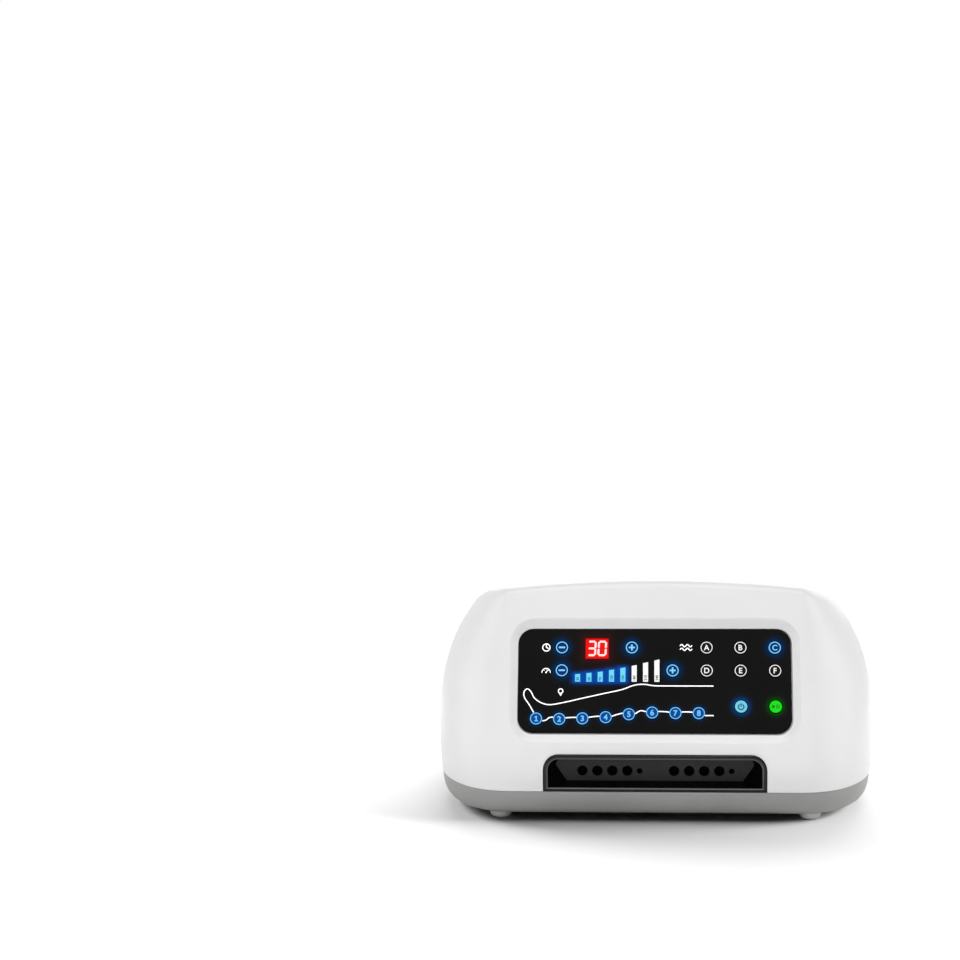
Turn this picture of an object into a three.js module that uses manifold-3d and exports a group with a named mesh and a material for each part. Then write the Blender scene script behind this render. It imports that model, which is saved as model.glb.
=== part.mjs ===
import * as THREE from 'three';
import { mergeVertices } from 'three/addons/utils/BufferGeometryUtils.js';
import Module from 'manifold-3d';

const wasm = await Module();
wasm.setup();

// Units are millimetres. X points right, Y to the back and Z up. The front faces -Y.

// Casing form
const casingHalfWidth = 140.5;
const ridgeHalfWidth = 95;
const casingDepth = 200;
const ridgeHeight = 143.2;
const widestHeight = 57;
const seamHeight = 20;
const undersideHeight = 5;
const undersideInset = 6;
const seamHalfWidthLoss = 2.5;
const creaseHeight = 33;
const creaseSoftness = 10;
const faceTilt = THREE.MathUtils.degToRad(24);
const topFall = THREE.MathUtils.degToRad(10.4);
const backLean = THREE.MathUtils.degToRad(2.3);
const crownRise = 5;
const ridgeCornerWidth = 3;
const frontCornerDepth = 70;
const frontCornerPower = 1.95;
const rearCornerRadius = 40;
const flankTaper = 14;
const edgeRadius = 5.5;
const wallThickness = 3;
const seamGap = 0.3;
const lowerStep = 0.4;
const rimStraight = 1.5;
const fitGap = 0.3;
const overrun = 6;

// Tongue of the lower shell that locates the upper shell
const tongueHeight = 4;
const tongueDepth = 5;
const tongueThickness = 1.5;

// Control panel and the dished pocket that holds it
const panelWidth = 170;
const panelHeight = 66.4;
const panelRadius = 9.5;
const panelThickness = 2;
const panelRise = 57.2;
const pocketDepth = 3.9;
const pocketSide = 5.3;
const pocketTop = 6.3;
const pocketRadius = 16;
const ledgeWidth = 3;
const ledgeThickness = 2;

// Keys behind the panel
const keyDiameter = 8.2;
const keyFlangeDiameter = 10.6;
const keyFlangeThickness = 1;
const keyStemDiameter = 3;
const keyStemLength = 1.7;
const keyStandoff = 0.6;
const ventRowWidth = 126;

// Display
const windowWidth = 14.4;
const windowHeight = 13.2;
const windowAcrossShare = -0.4218;
const windowUpShare = 0.628;
const lensStep = 1;
const displayThickness = 5;
const displayMargin = 1.2;

// Control board
const boardThickness = 1.6;
const boardSideMargin = 7;
const boardEndMargin = 6.2;
const switchSize = 6;
const switchHeight = 3.5;
const panelPostRadius = 2.2;
const panelPostShares = [[-0.28, 0.747], [0.28, 0.747], [-0.6, -0.217], [0.4, -0.217]];

// Port bay and connector block
const bayHalfWidth = 68.5;
const bayTop = 42;
const bayRadius = 9;
const bayRim = 2.7;
const bayFloor = 22.4;
const bayDepth = 16.6;
const bayBackTopHalf = 61.5;
const bayBackBottomHalf = 54.7;
const bayBackTop = 38.5;
const bayWall = 2.2;
const socketDiameter = 6.2;
const socketPitch = 9.35;
const socketHeight = 28.6;
const socketDepth = 10;
const socketGroupStartShares = [-0.657, 0.176];
const socketsPerGroup = 4;
const pinDiameter = 3.3;
const pinOffset = 7.6;
const pinDepth = 7;
const blockPlate = 3;
const blockDepth = 12;
const blockHalfHeight = 5.8;
const blockEnd = 6;
const nippleDiameter = 4;
const nippleLength = 6;
const airBoreDiameter = 2.4;

// Valve manifold and solenoid valves
const manifoldHalfLength = 59;
const manifoldDepth = 22;
const manifoldHeight = 16;
const valveCount = 8;
const valvePitch = 14.6;
const valveWidth = 12;
const valveDepth = 20;
const valveBase = 5;
const valveCoilHeight = 13;
const valveCoilRadius = 5.4;
const valveCap = 2;
const manifoldPostWidth = 6;

// Linear air compressor
const compressorSide = 78.5;
const compressorBack = 76;
const compressorLength = 64;
const compressorWidth = 52;
const compressorHeight = 40;
const coilWidth = 34;
const coilHeight = 5;
const channelWidth = 20;
const channelHeight = 18;
const headLength = 24;
const headWidth = 46;
const headHeight = 42;
const headCavityRadius = 17;
const headCavityDepth = 14;
const headCorner = 8;
const discRadius = 15;
const discThickness = 3;
const discOffset = 6;
const magnetLength = 18;
const armatureWidth = 14;
const armatureHeight = 10;
const mountRadius = 5.5;
const mountWaist = 4;
const mountHeight = 9.4;
const mountSeat = 3;
const mountInset = 9;
const outletRadius = 3.2;
const outletHeight = 6;

// Feed tube from the compressor to the manifold
const tubeRadius = 3.6;
const tubeBore = 2;
const tubeRise = 14;
const tubeRouteShares = [
  { across: 0, back: 0, drop: 0, lift: 0 },
  { across: 0, back: 0, drop: 0, lift: 0.4 },
  { across: 0.2, back: 0.16, drop: 0, lift: 0.95 },
  { across: 0.6, back: 0.44, drop: 0.05, lift: 0.8 },
  { across: 0.9, back: 0.68, drop: 0.5, lift: 0.1 },
  { across: 1, back: 0.84, drop: 0.92, lift: 0 },
  { across: 1, back: 0.93, drop: 1, lift: 0 },
  { across: 1, back: 1, drop: 1, lift: 0 },
];

// Transformer
const transformerAcrossShare = 0.463;
const transformerBack = 58;
const coreWidth = 50;
const coreDepth = 22;
const coreHeight = 42;
const windingWidth = 32;
const windingDepth = 38;
const windingHeight = 26;
const windingRadius = 6;
const footFlange = 8;
const footThickness = 2;
const railHeight = 3;
const railWidth = 5;

// Main board
const boardToCompressor = 10.7;
const boardToColumn = 2.8;
const boardToManifold = 8.8;
const boardToTransformer = 11;
const mainBoardPost = 6;
const mainPostRadius = 3.2;
const mainPostInset = 5;
const capacitorRadius = 6;
const capacitorHeight = 18;
const relayWidth = 19;
const relayDepth = 15;
const relayHeight = 14;
const sinkWidth = 30;
const sinkHeight = 20;
const sinkFin = 2;
const sinkDepth = 10;
const sinkFins = 5;

// Ribbon cable between the two boards
const ribbonWidth = 10;
const ribbonThickness = 0.9;
const ribbonAcrossShare = 0.36;

// Mains inlet and power switch on the back
const serviceHeight = 46;
const serviceRecess = 2.5;
const serviceMargin = 4;
const inletSide = 68.5;
const inletWidth = 27;
const inletHeight = 20;
const inletFlangeWidth = 46;
const inletFlangeHeight = 24;
const inletFlange = 2;
const inletDepth = 19;
const inletCavityWidth = 23;
const inletCavityHeight = 16;
const inletCavityDepth = 15;
const inletCavityBevel = 5;
const contactWidth = 4;
const contactThickness = 2;
const contactLength = 11;
const contactPitch = 7;
const contactDrop = 2.5;
const rockerSpacing = 46;
const rockerFrameWidth = 23;
const rockerFrameHeight = 15;
const rockerCutWidth = 19.4;
const rockerCutHeight = 13;
const rockerFrameFlange = 1.5;
const rockerFrameDepth = 13;
const rockerFrameWall = 1.4;
const rockerPivotDepth = 4.2;
const rockerReach = 6.2;
const rockerDish = 1;
const rockerPinRadius = 1.2;
const rockerPinLength = 0.8;
const rockerSwing = THREE.MathUtils.degToRad(9);

// Cooling slots
const ventSlots = 11;
const ventWidth = 3;
const ventLength = 26;
const ventHeight = 92;
const floorVentSlots = 7;
const floorVentLength = 30;

// Screws and their columns
const screwSide = 36.5;
const screwFront = 58;
const screwBack = 40;
const screwHeadRadius = 3.4;
const screwHeadHeight = 2.6;
const screwRadius = 1.7;
const screwLength = 22;
const screwSocket = 1.6;
const screwSocketDepth = 1.5;
const wellDepth = 16;
const wellRadius = 4.2;
const columnRadius = 6.2;
const columnMeet = 34;
const upperColumnRadius = 5;

// Feet
const footSide = 44.5;
const footFront = 15;
const footBack = 21;
const footRadius = 7.2;
const footContactRadius = 4.4;
const footStudRadius = 2;
const footStudHeight = 3.4;

// Values that follow from the sizes above
const halfDepth = casingDepth / 2;
const floorTop = undersideHeight + wallThickness;
const softOffset = (d) => Math.tan(faceTilt) * (d + Math.hypot(d, creaseSoftness)) / 2;
const faceBaseY = -halfDepth - softOffset(seamHeight - creaseHeight);
const panelBack = pocketDepth + panelThickness;
const stemEnd = panelBack + fitGap + keyFlangeThickness + keyStemLength;
const boardTop = stemEnd + keyStandoff + switchHeight;
const bayBackY = -halfDepth + bayDepth;
const blockFrontY = bayBackY + fitGap;
const blockBackY = blockFrontY + blockDepth;
const manifoldFrontY = blockBackY + fitGap;
const manifoldBottom = socketHeight - manifoldHeight / 2;
const manifoldTop = manifoldBottom + manifoldHeight;
const manifoldBackY = manifoldFrontY + manifoldDepth;
const compressorX = compressorSide - casingHalfWidth;
const compressorY = halfDepth - compressorBack;
const compressorEnd = compressorX + compressorLength / 2 + fitGap + headLength;
const transformerX = compressorEnd + transformerAcrossShare * (casingHalfWidth - compressorEnd);
const transformerY = halfDepth - transformerBack;
const screwX = casingHalfWidth - screwSide;
const screwPlaces = [-1, 1].flatMap((side) =>
  [screwFront - halfDepth, halfDepth - screwBack].map((y) => [side * screwX, y]));
const footX = casingHalfWidth - footSide;
const footPlaces = { front: footFront - halfDepth, rear: halfDepth - footBack };
const inletX = casingHalfWidth - inletSide;
const rockerX = inletX - rockerSpacing;
const mainBoardLow = [compressorEnd + boardToCompressor, manifoldBackY + boardToManifold];
const mainBoardHigh = [screwX - columnRadius - boardToColumn,
  transformerY - windingDepth / 2 - boardToTransformer];
const mainBoardHalf = mainBoardHigh.map((value, i) => (value - mainBoardLow[i]) / 2);
const mainBoardMiddle = mainBoardHigh.map((value, i) => (value + mainBoardLow[i]) / 2);
const mountTop = floorTop + mountSeat + fitGap + mountHeight;
const compressorBottom = mountTop + fitGap + coilHeight;
const compressorMiddle = compressorBottom + compressorHeight / 2;
const mainBoardBottom = floorTop + mainBoardPost + fitGap;
const mainBoardTop = mainBoardBottom + boardThickness;
const serviceY = halfDepth - Math.tan(backLean) * (serviceHeight - seamHeight) - serviceRecess;

// Solids from closed meshes
function toSolid(geometry) {
  const bare = geometry.clone();
  bare.deleteAttribute('normal');
  bare.deleteAttribute('uv');
  const merged = mergeVertices(bare);
  const vertProperties = new Float32Array(merged.attributes.position.array);
  const triVerts = new Uint32Array(merged.index.array);
  if (signedVolume(vertProperties, triVerts) < 0) {
    for (let i = 0; i < triVerts.length; i += 3) {
      [triVerts[i], triVerts[i + 1]] = [triVerts[i + 1], triVerts[i]];
    }
  }
  return new wasm.Manifold(new wasm.Mesh({ numProp: 3, vertProperties, triVerts }));
}

function signedVolume(points, triangles) {
  const at = (i) => new THREE.Vector3().fromArray(points, triangles[i] * 3);
  let sum = 0;
  for (let i = 0; i < triangles.length; i += 3) {
    sum += at(i).dot(at(i + 1).cross(at(i + 2)));
  }
  return sum / 6;
}

function toGeometry(solid) {
  const mesh = solid.getMesh();
  const geometry = new THREE.BufferGeometry();
  geometry.setAttribute('position', new THREE.BufferAttribute(mesh.vertProperties, 3));
  geometry.setIndex(new THREE.BufferAttribute(mesh.triVerts, 1));
  geometry.computeVertexNormals();
  return geometry;
}

const join = (...solids) => solids.reduce((a, b) => a.add(b));
const cut = (solid, ...tools) => tools.reduce((a, b) => a.subtract(b), solid);

// Basic forms
function block(low, high) {
  const size = high.map((value, i) => value - low[i]);
  const middle = high.map((value, i) => (value + low[i]) / 2);
  return toSolid(new THREE.BoxGeometry(...size).translate(...middle));
}

function rod(radius, low, high, x, y, sides, topRadius = radius) {
  const geometry = new THREE.CylinderGeometry(topRadius, radius, high - low, sides);
  return toSolid(geometry.rotateX(Math.PI / 2).translate(x, y, (low + high) / 2));
}

function rodAlongY(radius, front, back, x, z, sides) {
  const geometry = new THREE.CylinderGeometry(radius, radius, back - front, sides);
  return toSolid(geometry.translate(x, (front + back) / 2, z));
}

function rodAlongX(radius, low, high, y, z, sides) {
  const geometry = new THREE.CylinderGeometry(radius, radius, high - low, sides);
  return toSolid(geometry.rotateZ(Math.PI / 2).translate((low + high) / 2, y, z));
}

function turned(profile, sides) {
  const points = profile.map(([radius, height]) => new THREE.Vector2(radius, height));
  return new THREE.LatheGeometry(points, sides).rotateX(Math.PI / 2);
}

function roundedRing(width, height, radius, steps) {
  const ring = [];
  const corners = [[1, -1, -90], [1, 1, 0], [-1, 1, 90], [-1, -1, 180]];
  for (const [sideX, sideY, start] of corners) {
    for (let i = 0; i <= steps; i += 1) {
      const angle = THREE.MathUtils.degToRad(start + 90 * i / steps);
      const x = sideX * (width / 2 - radius) + radius * Math.cos(angle);
      const y = sideY * (height / 2 - radius) + radius * Math.sin(angle);
      ring.push([x, y]);
    }
  }
  return ring;
}

// A closed skin over a stack of rings, each with the same number of points
function loft(rings) {
  const count = rings[0].length;
  const positions = rings.flat(2);
  const index = [];
  for (let r = 0; r + 1 < rings.length; r += 1) {
    for (let i = 0; i < count; i += 1) {
      const a = r * count + i;
      const b = r * count + (i + 1) % count;
      index.push(a, b, a + count, b, b + count, a + count);
    }
  }
  const ends = [[rings[0], 0, 1], [rings.at(-1), (rings.length - 1) * count, 0]];
  for (const [ring, start, turn] of ends) {
    const centre = positions.length / 3;
    positions.push(...[0, 1, 2].map((k) => ring.reduce((sum, p) => sum + p[k], 0) / count));
    for (let i = 0; i < count; i += 1) {
      const pair = [start + i, start + (i + 1) % count];
      index.push(centre, pair[turn], pair[1 - turn]);
    }
  }
  const geometry = new THREE.BufferGeometry();
  geometry.setAttribute('position', new THREE.Float32BufferAttribute(positions, 3));
  geometry.setIndex(index);
  return geometry;
}

const flatPrism = (ring, low, high) => loft([low, high].map((z) => ring.map(([x, y]) => [x, y, z])));

// Casing surface
function halfWidthAt(z) {
  const above = Math.max(0, z - widestHeight) / (ridgeHeight - widestHeight);
  const below = Math.max(0, widestHeight - z) / (widestHeight - seamHeight);
  const flankLoss = (casingHalfWidth - ridgeHalfWidth) * (0.8 * above ** 2 + 0.2 * above ** 4);
  return casingHalfWidth - flankLoss - seamHalfWidthLoss * below ** 2;
}

const frontAt = (z) => faceBaseY + softOffset(z - creaseHeight);
const backAt = (z) => halfDepth - Math.tan(backLean) * (z - seamHeight);

function topAt(x, y) {
  const fall = Math.tan(topFall) * (y - frontAt(ridgeHeight));
  return ridgeHeight - crownRise * (x / ridgeHalfWidth) ** 2 - fall;
}

// Steps along half of the outline, from the middle of the front to the middle of the back
const outlineZones = [['front', 2], ['corner', 6], ['flank', 2], ['rear', 5], ['back', 2]];
const halfOutline = outlineZones.flatMap(([zone, count]) =>
  Array.from({ length: count }, (_, i) => [zone, i / count]));
const outline = [
  ...halfOutline.map(([zone, share]) => [zone, share, 1]),
  ['back', 1, 1],
  ...halfOutline.slice(1).reverse().map(([zone, share]) => [zone, share, -1]),
];

function outlinePoint([zone, share, side], z, inset) {
  const half = halfWidthAt(z) - inset;
  const front = frontAt(z) + inset;
  const back = backAt(z) - inset;
  const flat = Math.min(ridgeHalfWidth - ridgeCornerWidth, half - ridgeCornerWidth / 2);
  const cornerWidth = half - flat;
  const fullCorner = casingHalfWidth - ridgeHalfWidth + ridgeCornerWidth;
  const cornerDepth = frontCornerDepth * (0.4 + 0.6 * cornerWidth / fullCorner);
  const rear = Math.min(rearCornerRadius, half);
  const angle = share * Math.PI / 2;
  const power = 2 / frontCornerPower;
  let x = half;
  let y = front;
  if (zone === 'front') {
    x = flat * share;
  } else if (zone === 'corner') {
    x = flat + cornerWidth * Math.sin(angle) ** power;
    y = front + cornerDepth * (1 - Math.cos(angle) ** power);
  } else if (zone === 'flank') {
    y = (front + cornerDepth) * (1 - share) + (back - rear) * share;
  } else if (zone === 'rear') {
    x = half - rear * (1 - Math.cos(angle));
    y = back - rear * (1 - Math.sin(angle));
  } else {
    x = (half - rear) * (1 - share);
    y = back;
  }
  const along = Math.max(0, (y - front - cornerDepth) / (back - front - cornerDepth));
  return [side * x * (1 - flankTaper / casingHalfWidth * along ** 2), y];
}

// The height at which the flank meets the top surface lowered by a drop
function settledPoint(step, inset, drop) {
  let z = ridgeHeight;
  for (let i = 0; i < 14; i += 1) {
    z = topAt(...outlinePoint(step, z, inset)) - drop;
  }
  return [...outlinePoint(step, z, inset), z];
}

const wallShares = [0, 0.1, 0.2, 0.36, 0.56, 0.78, 1];
const innerWallShares = [0, 0.1, 0.24, 0.56, 1];
const crownShares = [0.66, 0.33];

function casingSolid(inset, low) {
  const radius = edgeRadius - inset / 2;
  const wallTops = outline.map((step) => settledPoint(step, inset, radius + inset)[2]);
  const rings = (inset > 0 ? innerWallShares : wallShares).map((share) => outline.map((step, i) => {
    const z = low + share * (wallTops[i] - low);
    return [...outlinePoint(step, z, inset), z];
  }));
  for (const angle of (inset > 0 ? [45, 90] : [30, 60, 90]).map(THREE.MathUtils.degToRad)) {
    const run = inset + radius * (1 - Math.cos(angle));
    const drop = inset + radius * (1 - Math.sin(angle));
    rings.push(outline.map((step) => settledPoint(step, run, drop)));
  }
  const rim = rings.at(-1);
  const middleY = (backAt(ridgeHeight) + frontAt(ridgeHeight)) / 2;
  for (const share of crownShares) {
    rings.push(rim.map(([x, y]) => {
      const inner = [x * share, middleY + (y - middleY) * share];
      return [...inner, topAt(...inner) - inset];
    }));
  }
  return toSolid(loft(rings));
}

// Lower shell surface, from its rim down to the flat underside
function traySolid(inset, rim, bottom) {
  const straightLow = seamHeight - seamGap - rimStraight;
  const rings = [outline.map((step) => [...outlinePoint(step, seamHeight, lowerStep + inset), rim])];
  for (const angle of (inset > 0 ? [0, 50, 90] : [0, 30, 55, 75, 90]).map(THREE.MathUtils.degToRad)) {
    const run = lowerStep + inset + undersideInset * (1 - Math.cos(angle));
    const z = straightLow - (straightLow - bottom) * Math.sin(angle);
    rings.push(outline.map((step) => [...outlinePoint(step, seamHeight, run), z]));
  }
  return toSolid(loft(rings));
}

function outlineBand(outer, inner, low, high) {
  const wall = (inset, a, b) => toSolid(loft([a, b].map((z) =>
    outline.map((step) => [...outlinePoint(step, seamHeight, inset), z]))));
  return cut(wall(outer, low, high), wall(inner, low - overrun, high + overrun));
}

// Turned frame that lies in the sloped face: X across, Y up the slope, Z out of the face
const face = new THREE.Group();
face.position.set(0, faceBaseY, creaseHeight);
face.rotation.x = Math.PI / 2 - faceTilt;
face.updateMatrixWorld();
const onFace = (geometry) => toSolid(geometry.applyMatrix4(face.matrixWorld));
const facePlate = (width, height, radius, low, high, steps = 3) =>
  flatPrism(roundedRing(width, height, radius, steps), low, high).translate(0, panelRise, 0);

// Pieces and their finishes
const device = new THREE.Group();
device.add(face);
const finish = (color, roughness, metalness = 0) =>
  new THREE.MeshStandardMaterial({ color, roughness, metalness });
const finishes = {
  whiteShell: finish(0xe9ebed, 0.32),
  greyShell: finish(0x9a9b9b, 0.45),
  panelBlack: finish(0x18191a, 0.12),
  bayBlack: finish(0x303030, 0.42),
  keyBlack: finish(0x1c1d1f, 0.2),
  lensRed: finish(0xd21a1a, 0.15),
  rubber: finish(0xb9bab8, 0.8),
  darkRubber: finish(0x202020, 0.85),
  steel: finish(0xb8babd, 0.35, 1),
  aluminium: finish(0xb4b7ba, 0.45, 1),
  board: finish(0x1f5a35, 0.5),
  copper: finish(0x9c5a2a, 0.4, 1),
  valvePlastic: finish(0x2b2d30, 0.5),
  tube: finish(0xd9dcdc, 0.4),
  cable: finish(0x8b8f94, 0.6),
};

function addPiece(name, solid, material, parent = device) {
  const mesh = new THREE.Mesh(toGeometry(solid), finishes[material]);
  mesh.name = name;
  parent.add(mesh);
}

// Screw columns stand at the four corners
const wellTop = undersideHeight + wellDepth;
const screwTop = wellTop + screwHeadHeight + screwLength;

// Rounded outline of the port bay in the X and Z directions, at one depth
function bayRing(bottomHalf, topHalf, low, high, radius, y) {
  const steps = 4;
  const ring = [[-bottomHalf, y, low], [bottomHalf, y, low]];
  for (const side of [1, -1]) {
    for (let i = 0; i <= steps; i += 1) {
      const angle = Math.PI / 2 * (side > 0 ? i / steps : 1 - i / steps);
      const x = side * (topHalf - radius + radius * Math.cos(angle));
      ring.push([x, y, high - radius + radius * Math.sin(angle)]);
    }
  }
  return ring;
}

const bayLow = seamHeight + fitGap;
const bayBackRing = (grow, y) => bayRing(bayBackBottomHalf + grow, bayBackTopHalf + grow,
  grow > 0 ? bayLow : bayFloor, bayBackTop + grow, bayRadius - bayRim + grow / 2, y);

// Upper shell: a hollow moulding with the dished pocket, the bay notch and the service recess
function pocketTool() {
  const floorRing = roundedRing(panelWidth + 2 * fitGap, panelHeight + 2 * fitGap, panelRadius + fitGap, 3);
  const slope = 1 + overrun / pocketDepth;
  const rimRing = roundedRing(panelWidth + 2 * pocketSide * slope, panelHeight + 2 * pocketTop * slope,
    panelRadius + (pocketRadius - panelRadius) * slope, 3);
  const rings = [[floorRing, -pocketDepth], [rimRing, overrun]];
  return onFace(loft(rings.map(([ring, z]) => ring.map(([x, y]) => [x, y + panelRise, z]))));
}

function ventTools() {
  const tools = [];
  const y = backAt(ventHeight);
  for (let i = 0; i < ventSlots; i += 1) {
    const x = (i / (ventSlots - 1) - 0.5) * ventRowWidth;
    const ring = roundedRing(ventWidth, ventLength, ventWidth / 2.1, 1);
    const slot = flatPrism(ring, -wallThickness - overrun, overrun);
    tools.push(toSolid(slot.rotateX(-Math.PI / 2).rotateZ(Math.PI).translate(x, y, ventHeight)));
  }
  return tools;
}

const serviceLow = Math.min(inletX - inletFlangeWidth / 2, rockerX - rockerFrameWidth / 2) - serviceMargin;
const serviceHigh = Math.max(inletX + inletFlangeWidth / 2, rockerX + rockerFrameWidth / 2) + serviceMargin;
const serviceHalf = Math.max(inletFlangeHeight, rockerFrameHeight) / 2 + serviceMargin;

function upperShell() {
  const outer = casingSolid(0, seamHeight);
  const inner = casingSolid(wallThickness, seamHeight - overrun);
  const backing = onFace(facePlate(panelWidth + 2 * pocketSide + 2 * wallThickness,
    panelHeight + 2 * pocketTop + 2 * wallThickness, pocketRadius,
    -panelBack - fitGap - ledgeThickness, overrun));
  const recessBacking = block(
    [serviceLow - wallThickness, serviceY - wallThickness, serviceHeight - serviceHalf - wallThickness],
    [serviceHigh + wallThickness, halfDepth, serviceHeight + serviceHalf + wallThickness]);
  const columns = screwPlaces.map(([x, y]) =>
    rod(upperColumnRadius, columnMeet + fitGap, ridgeHeight, x, y, 8));
  const inside = [backing, recessBacking, ...columns].map((part) => part.intersect(outer));
  const solid = join(cut(outer, inner), ...inside);
  const seat = onFace(facePlate(panelWidth + 2 * fitGap, panelHeight + 2 * fitGap, panelRadius + fitGap,
    -panelBack - fitGap, 0));
  const opening = onFace(facePlate(panelWidth - 2 * ledgeWidth, panelHeight - 2 * ledgeWidth,
    panelRadius - ledgeWidth, -panelBack - overrun, 0));
  const notchHalf = bayHalfWidth + fitGap;
  const notch = toSolid(loft([-halfDepth - overrun, bayBackY].map((y) =>
    bayRing(notchHalf, notchHalf, seamHeight - overrun, bayTop + fitGap, bayRadius, y))));
  const recess = block([serviceLow, serviceY, serviceHeight - serviceHalf],
    [serviceHigh, halfDepth + overrun, serviceHeight + serviceHalf]);
  const fittings = [[inletX, inletWidth, inletHeight], [rockerX, rockerCutWidth, rockerCutHeight]];
  const fittingCuts = fittings.map(([x, width, height]) => block(
    [x - width / 2 - fitGap, serviceY - overrun, serviceHeight - height / 2 - fitGap],
    [x + width / 2 + fitGap, serviceY + overrun, serviceHeight + height / 2 + fitGap]));
  const pilots = screwPlaces.map(([x, y]) =>
    rod(screwRadius + fitGap, columnMeet, screwTop + fitGap, x, y, 6));
  return cut(solid, pocketTool(), seat, opening, notch, recess, ...fittingCuts, ...ventTools(), ...pilots);
}

// Lower shell: a shallow tray with columns, posts, rails and floor slots
const mountPlaces = [-1, 1].flatMap((sideX) => [-1, 1].map((sideY) => [
  compressorX + sideX * (compressorLength / 2 - mountInset),
  compressorY + sideY * (compressorWidth / 2 - mountInset),
]));
const mainPostPlaces = [-1, 1].flatMap((sideX) => [-1, 1].map((sideY) => [
  mainBoardMiddle[0] + sideX * (mainBoardHalf[0] - mainPostInset),
  mainBoardMiddle[1] + sideY * (mainBoardHalf[1] - mainPostInset),
]));

function lowerShell() {
  const rim = seamHeight - seamGap;
  const inner = traySolid(wallThickness, rim + overrun, floorTop);
  const tray = cut(traySolid(0, rim, undersideHeight), inner);
  const outerTongue = wallThickness + fitGap;
  const innerTongue = outerTongue + tongueThickness;
  const root = outlineBand(wallThickness / 2, innerTongue, rim - tongueDepth, rim);
  const lip = outlineBand(outerTongue, innerTongue, rim - tongueDepth / 2, rim + tongueHeight);
  const bayClearance = block([-bayHalfWidth - fitGap, -casingDepth, rim],
    [bayHalfWidth + fitGap, bayBackY, rim + 2 * tongueHeight]);
  const low = floorTop - wallThickness / 2;
  const posts = [
    ...screwPlaces.map(([x, y]) => rod(columnRadius, low, columnMeet, x, y, 10)),
    ...mountPlaces.map(([x, y]) => rod(mountRadius, low, floorTop + mountSeat, x, y, 8)),
    ...mainPostPlaces.map(([x, y]) => rod(mainPostRadius, low, floorTop + mainBoardPost, x, y, 8)),
    ...[-1, 1].map((side) => side * manifoldHalfLength / 2).map((x) => block(
      [x - manifoldPostWidth / 2, manifoldFrontY + fitGap, low],
      [x + manifoldPostWidth / 2, manifoldBackY, manifoldBottom - fitGap])),
    ...[-1, 1].map((side) => transformerX + side * (coreWidth + footFlange) / 2).map((x) => block(
      [x - railWidth / 2, transformerY - coreDepth / 2, low],
      [x + railWidth / 2, transformerY + coreDepth / 2, floorTop + railHeight])),
  ];
  const wells = screwPlaces.flatMap(([x, y]) => [
    rod(wellRadius, undersideHeight - overrun, wellTop, x, y, 12),
    rod(screwRadius + fitGap, wellTop - overrun / 2, columnMeet + overrun, x, y, 6),
  ]);
  const studHoles = [-1, 1].flatMap((side) => Object.values(footPlaces).map((y) =>
    rod(footStudRadius + fitGap, undersideHeight - overrun, floorTop + overrun, side * footX, y, 8)));
  const slots = Array.from({ length: floorVentSlots }, (_, i) => {
    const x = compressorX + (i - (floorVentSlots - 1) / 2) * 2 * ventWidth;
    return block([x - ventWidth / 2, compressorY - floorVentLength / 2, undersideHeight - overrun],
      [x + ventWidth / 2, compressorY + floorVentLength / 2, floorTop + overrun / 2]);
  });
  return cut(join(tray, root, cut(lip, bayClearance), ...posts), ...wells, ...studHoles, ...slots);
}

// Port bay: a funnel whose rim is trimmed flush with the casing
function portBay() {
  const front = -halfDepth;
  const frontRing = (grow, y) => bayRing(bayHalfWidth - grow, bayHalfWidth - grow,
    grow > 0 ? bayFloor : bayLow, bayTop - grow, bayRadius - grow, y);
  const outer = toSolid(loft([frontRing(0, front - overrun), frontRing(0, front + bayWall),
    bayBackRing(bayWall, bayBackY)]));
  const inner = toSolid(loft([frontRing(bayRim, front - 2 * overrun), frontRing(bayRim, front),
    bayBackRing(0, bayBackY), bayBackRing(0, bayBackY + overrun)]));
  return cut(outer, inner).intersect(casingSolid(0, seamHeight));
}

// Connector block: face plate, two socket housings and the nipples behind them
const groupStarts = socketGroupStartShares.map((share) => share * bayHalfWidth);
const socketPlaces = groupStarts.flatMap((start) =>
  Array.from({ length: socketsPerGroup }, (_, i) => start + i * socketPitch));

function portBlock() {
  const span = (socketsPerGroup - 1) * socketPitch;
  const plate = toSolid(loft([blockFrontY, blockFrontY + blockPlate].map((y) => bayBackRing(bayWall, y))));
  const housings = groupStarts.map((start) => block(
    [start - blockEnd, blockFrontY + blockPlate / 2, socketHeight - blockHalfHeight],
    [start + span + pinOffset + blockEnd / 2, blockBackY, socketHeight + blockHalfHeight]));
  const nipples = socketPlaces.map((x) => rodAlongY(nippleDiameter / 2,
    blockBackY - blockPlate / 2, blockBackY + nippleLength, x, socketHeight, 6));
  const bores = socketPlaces.flatMap((x) => [
    rodAlongY(socketDiameter / 2, blockFrontY - overrun, blockFrontY + socketDepth, x, socketHeight, 12),
    rodAlongY(airBoreDiameter / 2, blockFrontY, blockBackY + nippleLength + overrun, x, socketHeight, 6),
  ]);
  const pins = groupStarts.map((start) => rodAlongY(pinDiameter / 2, blockFrontY - overrun,
    blockFrontY + pinDepth, start + span + pinOffset, socketHeight, 8));
  return cut(join(plate, ...housings, ...nipples), ...bores, ...pins);
}

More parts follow.
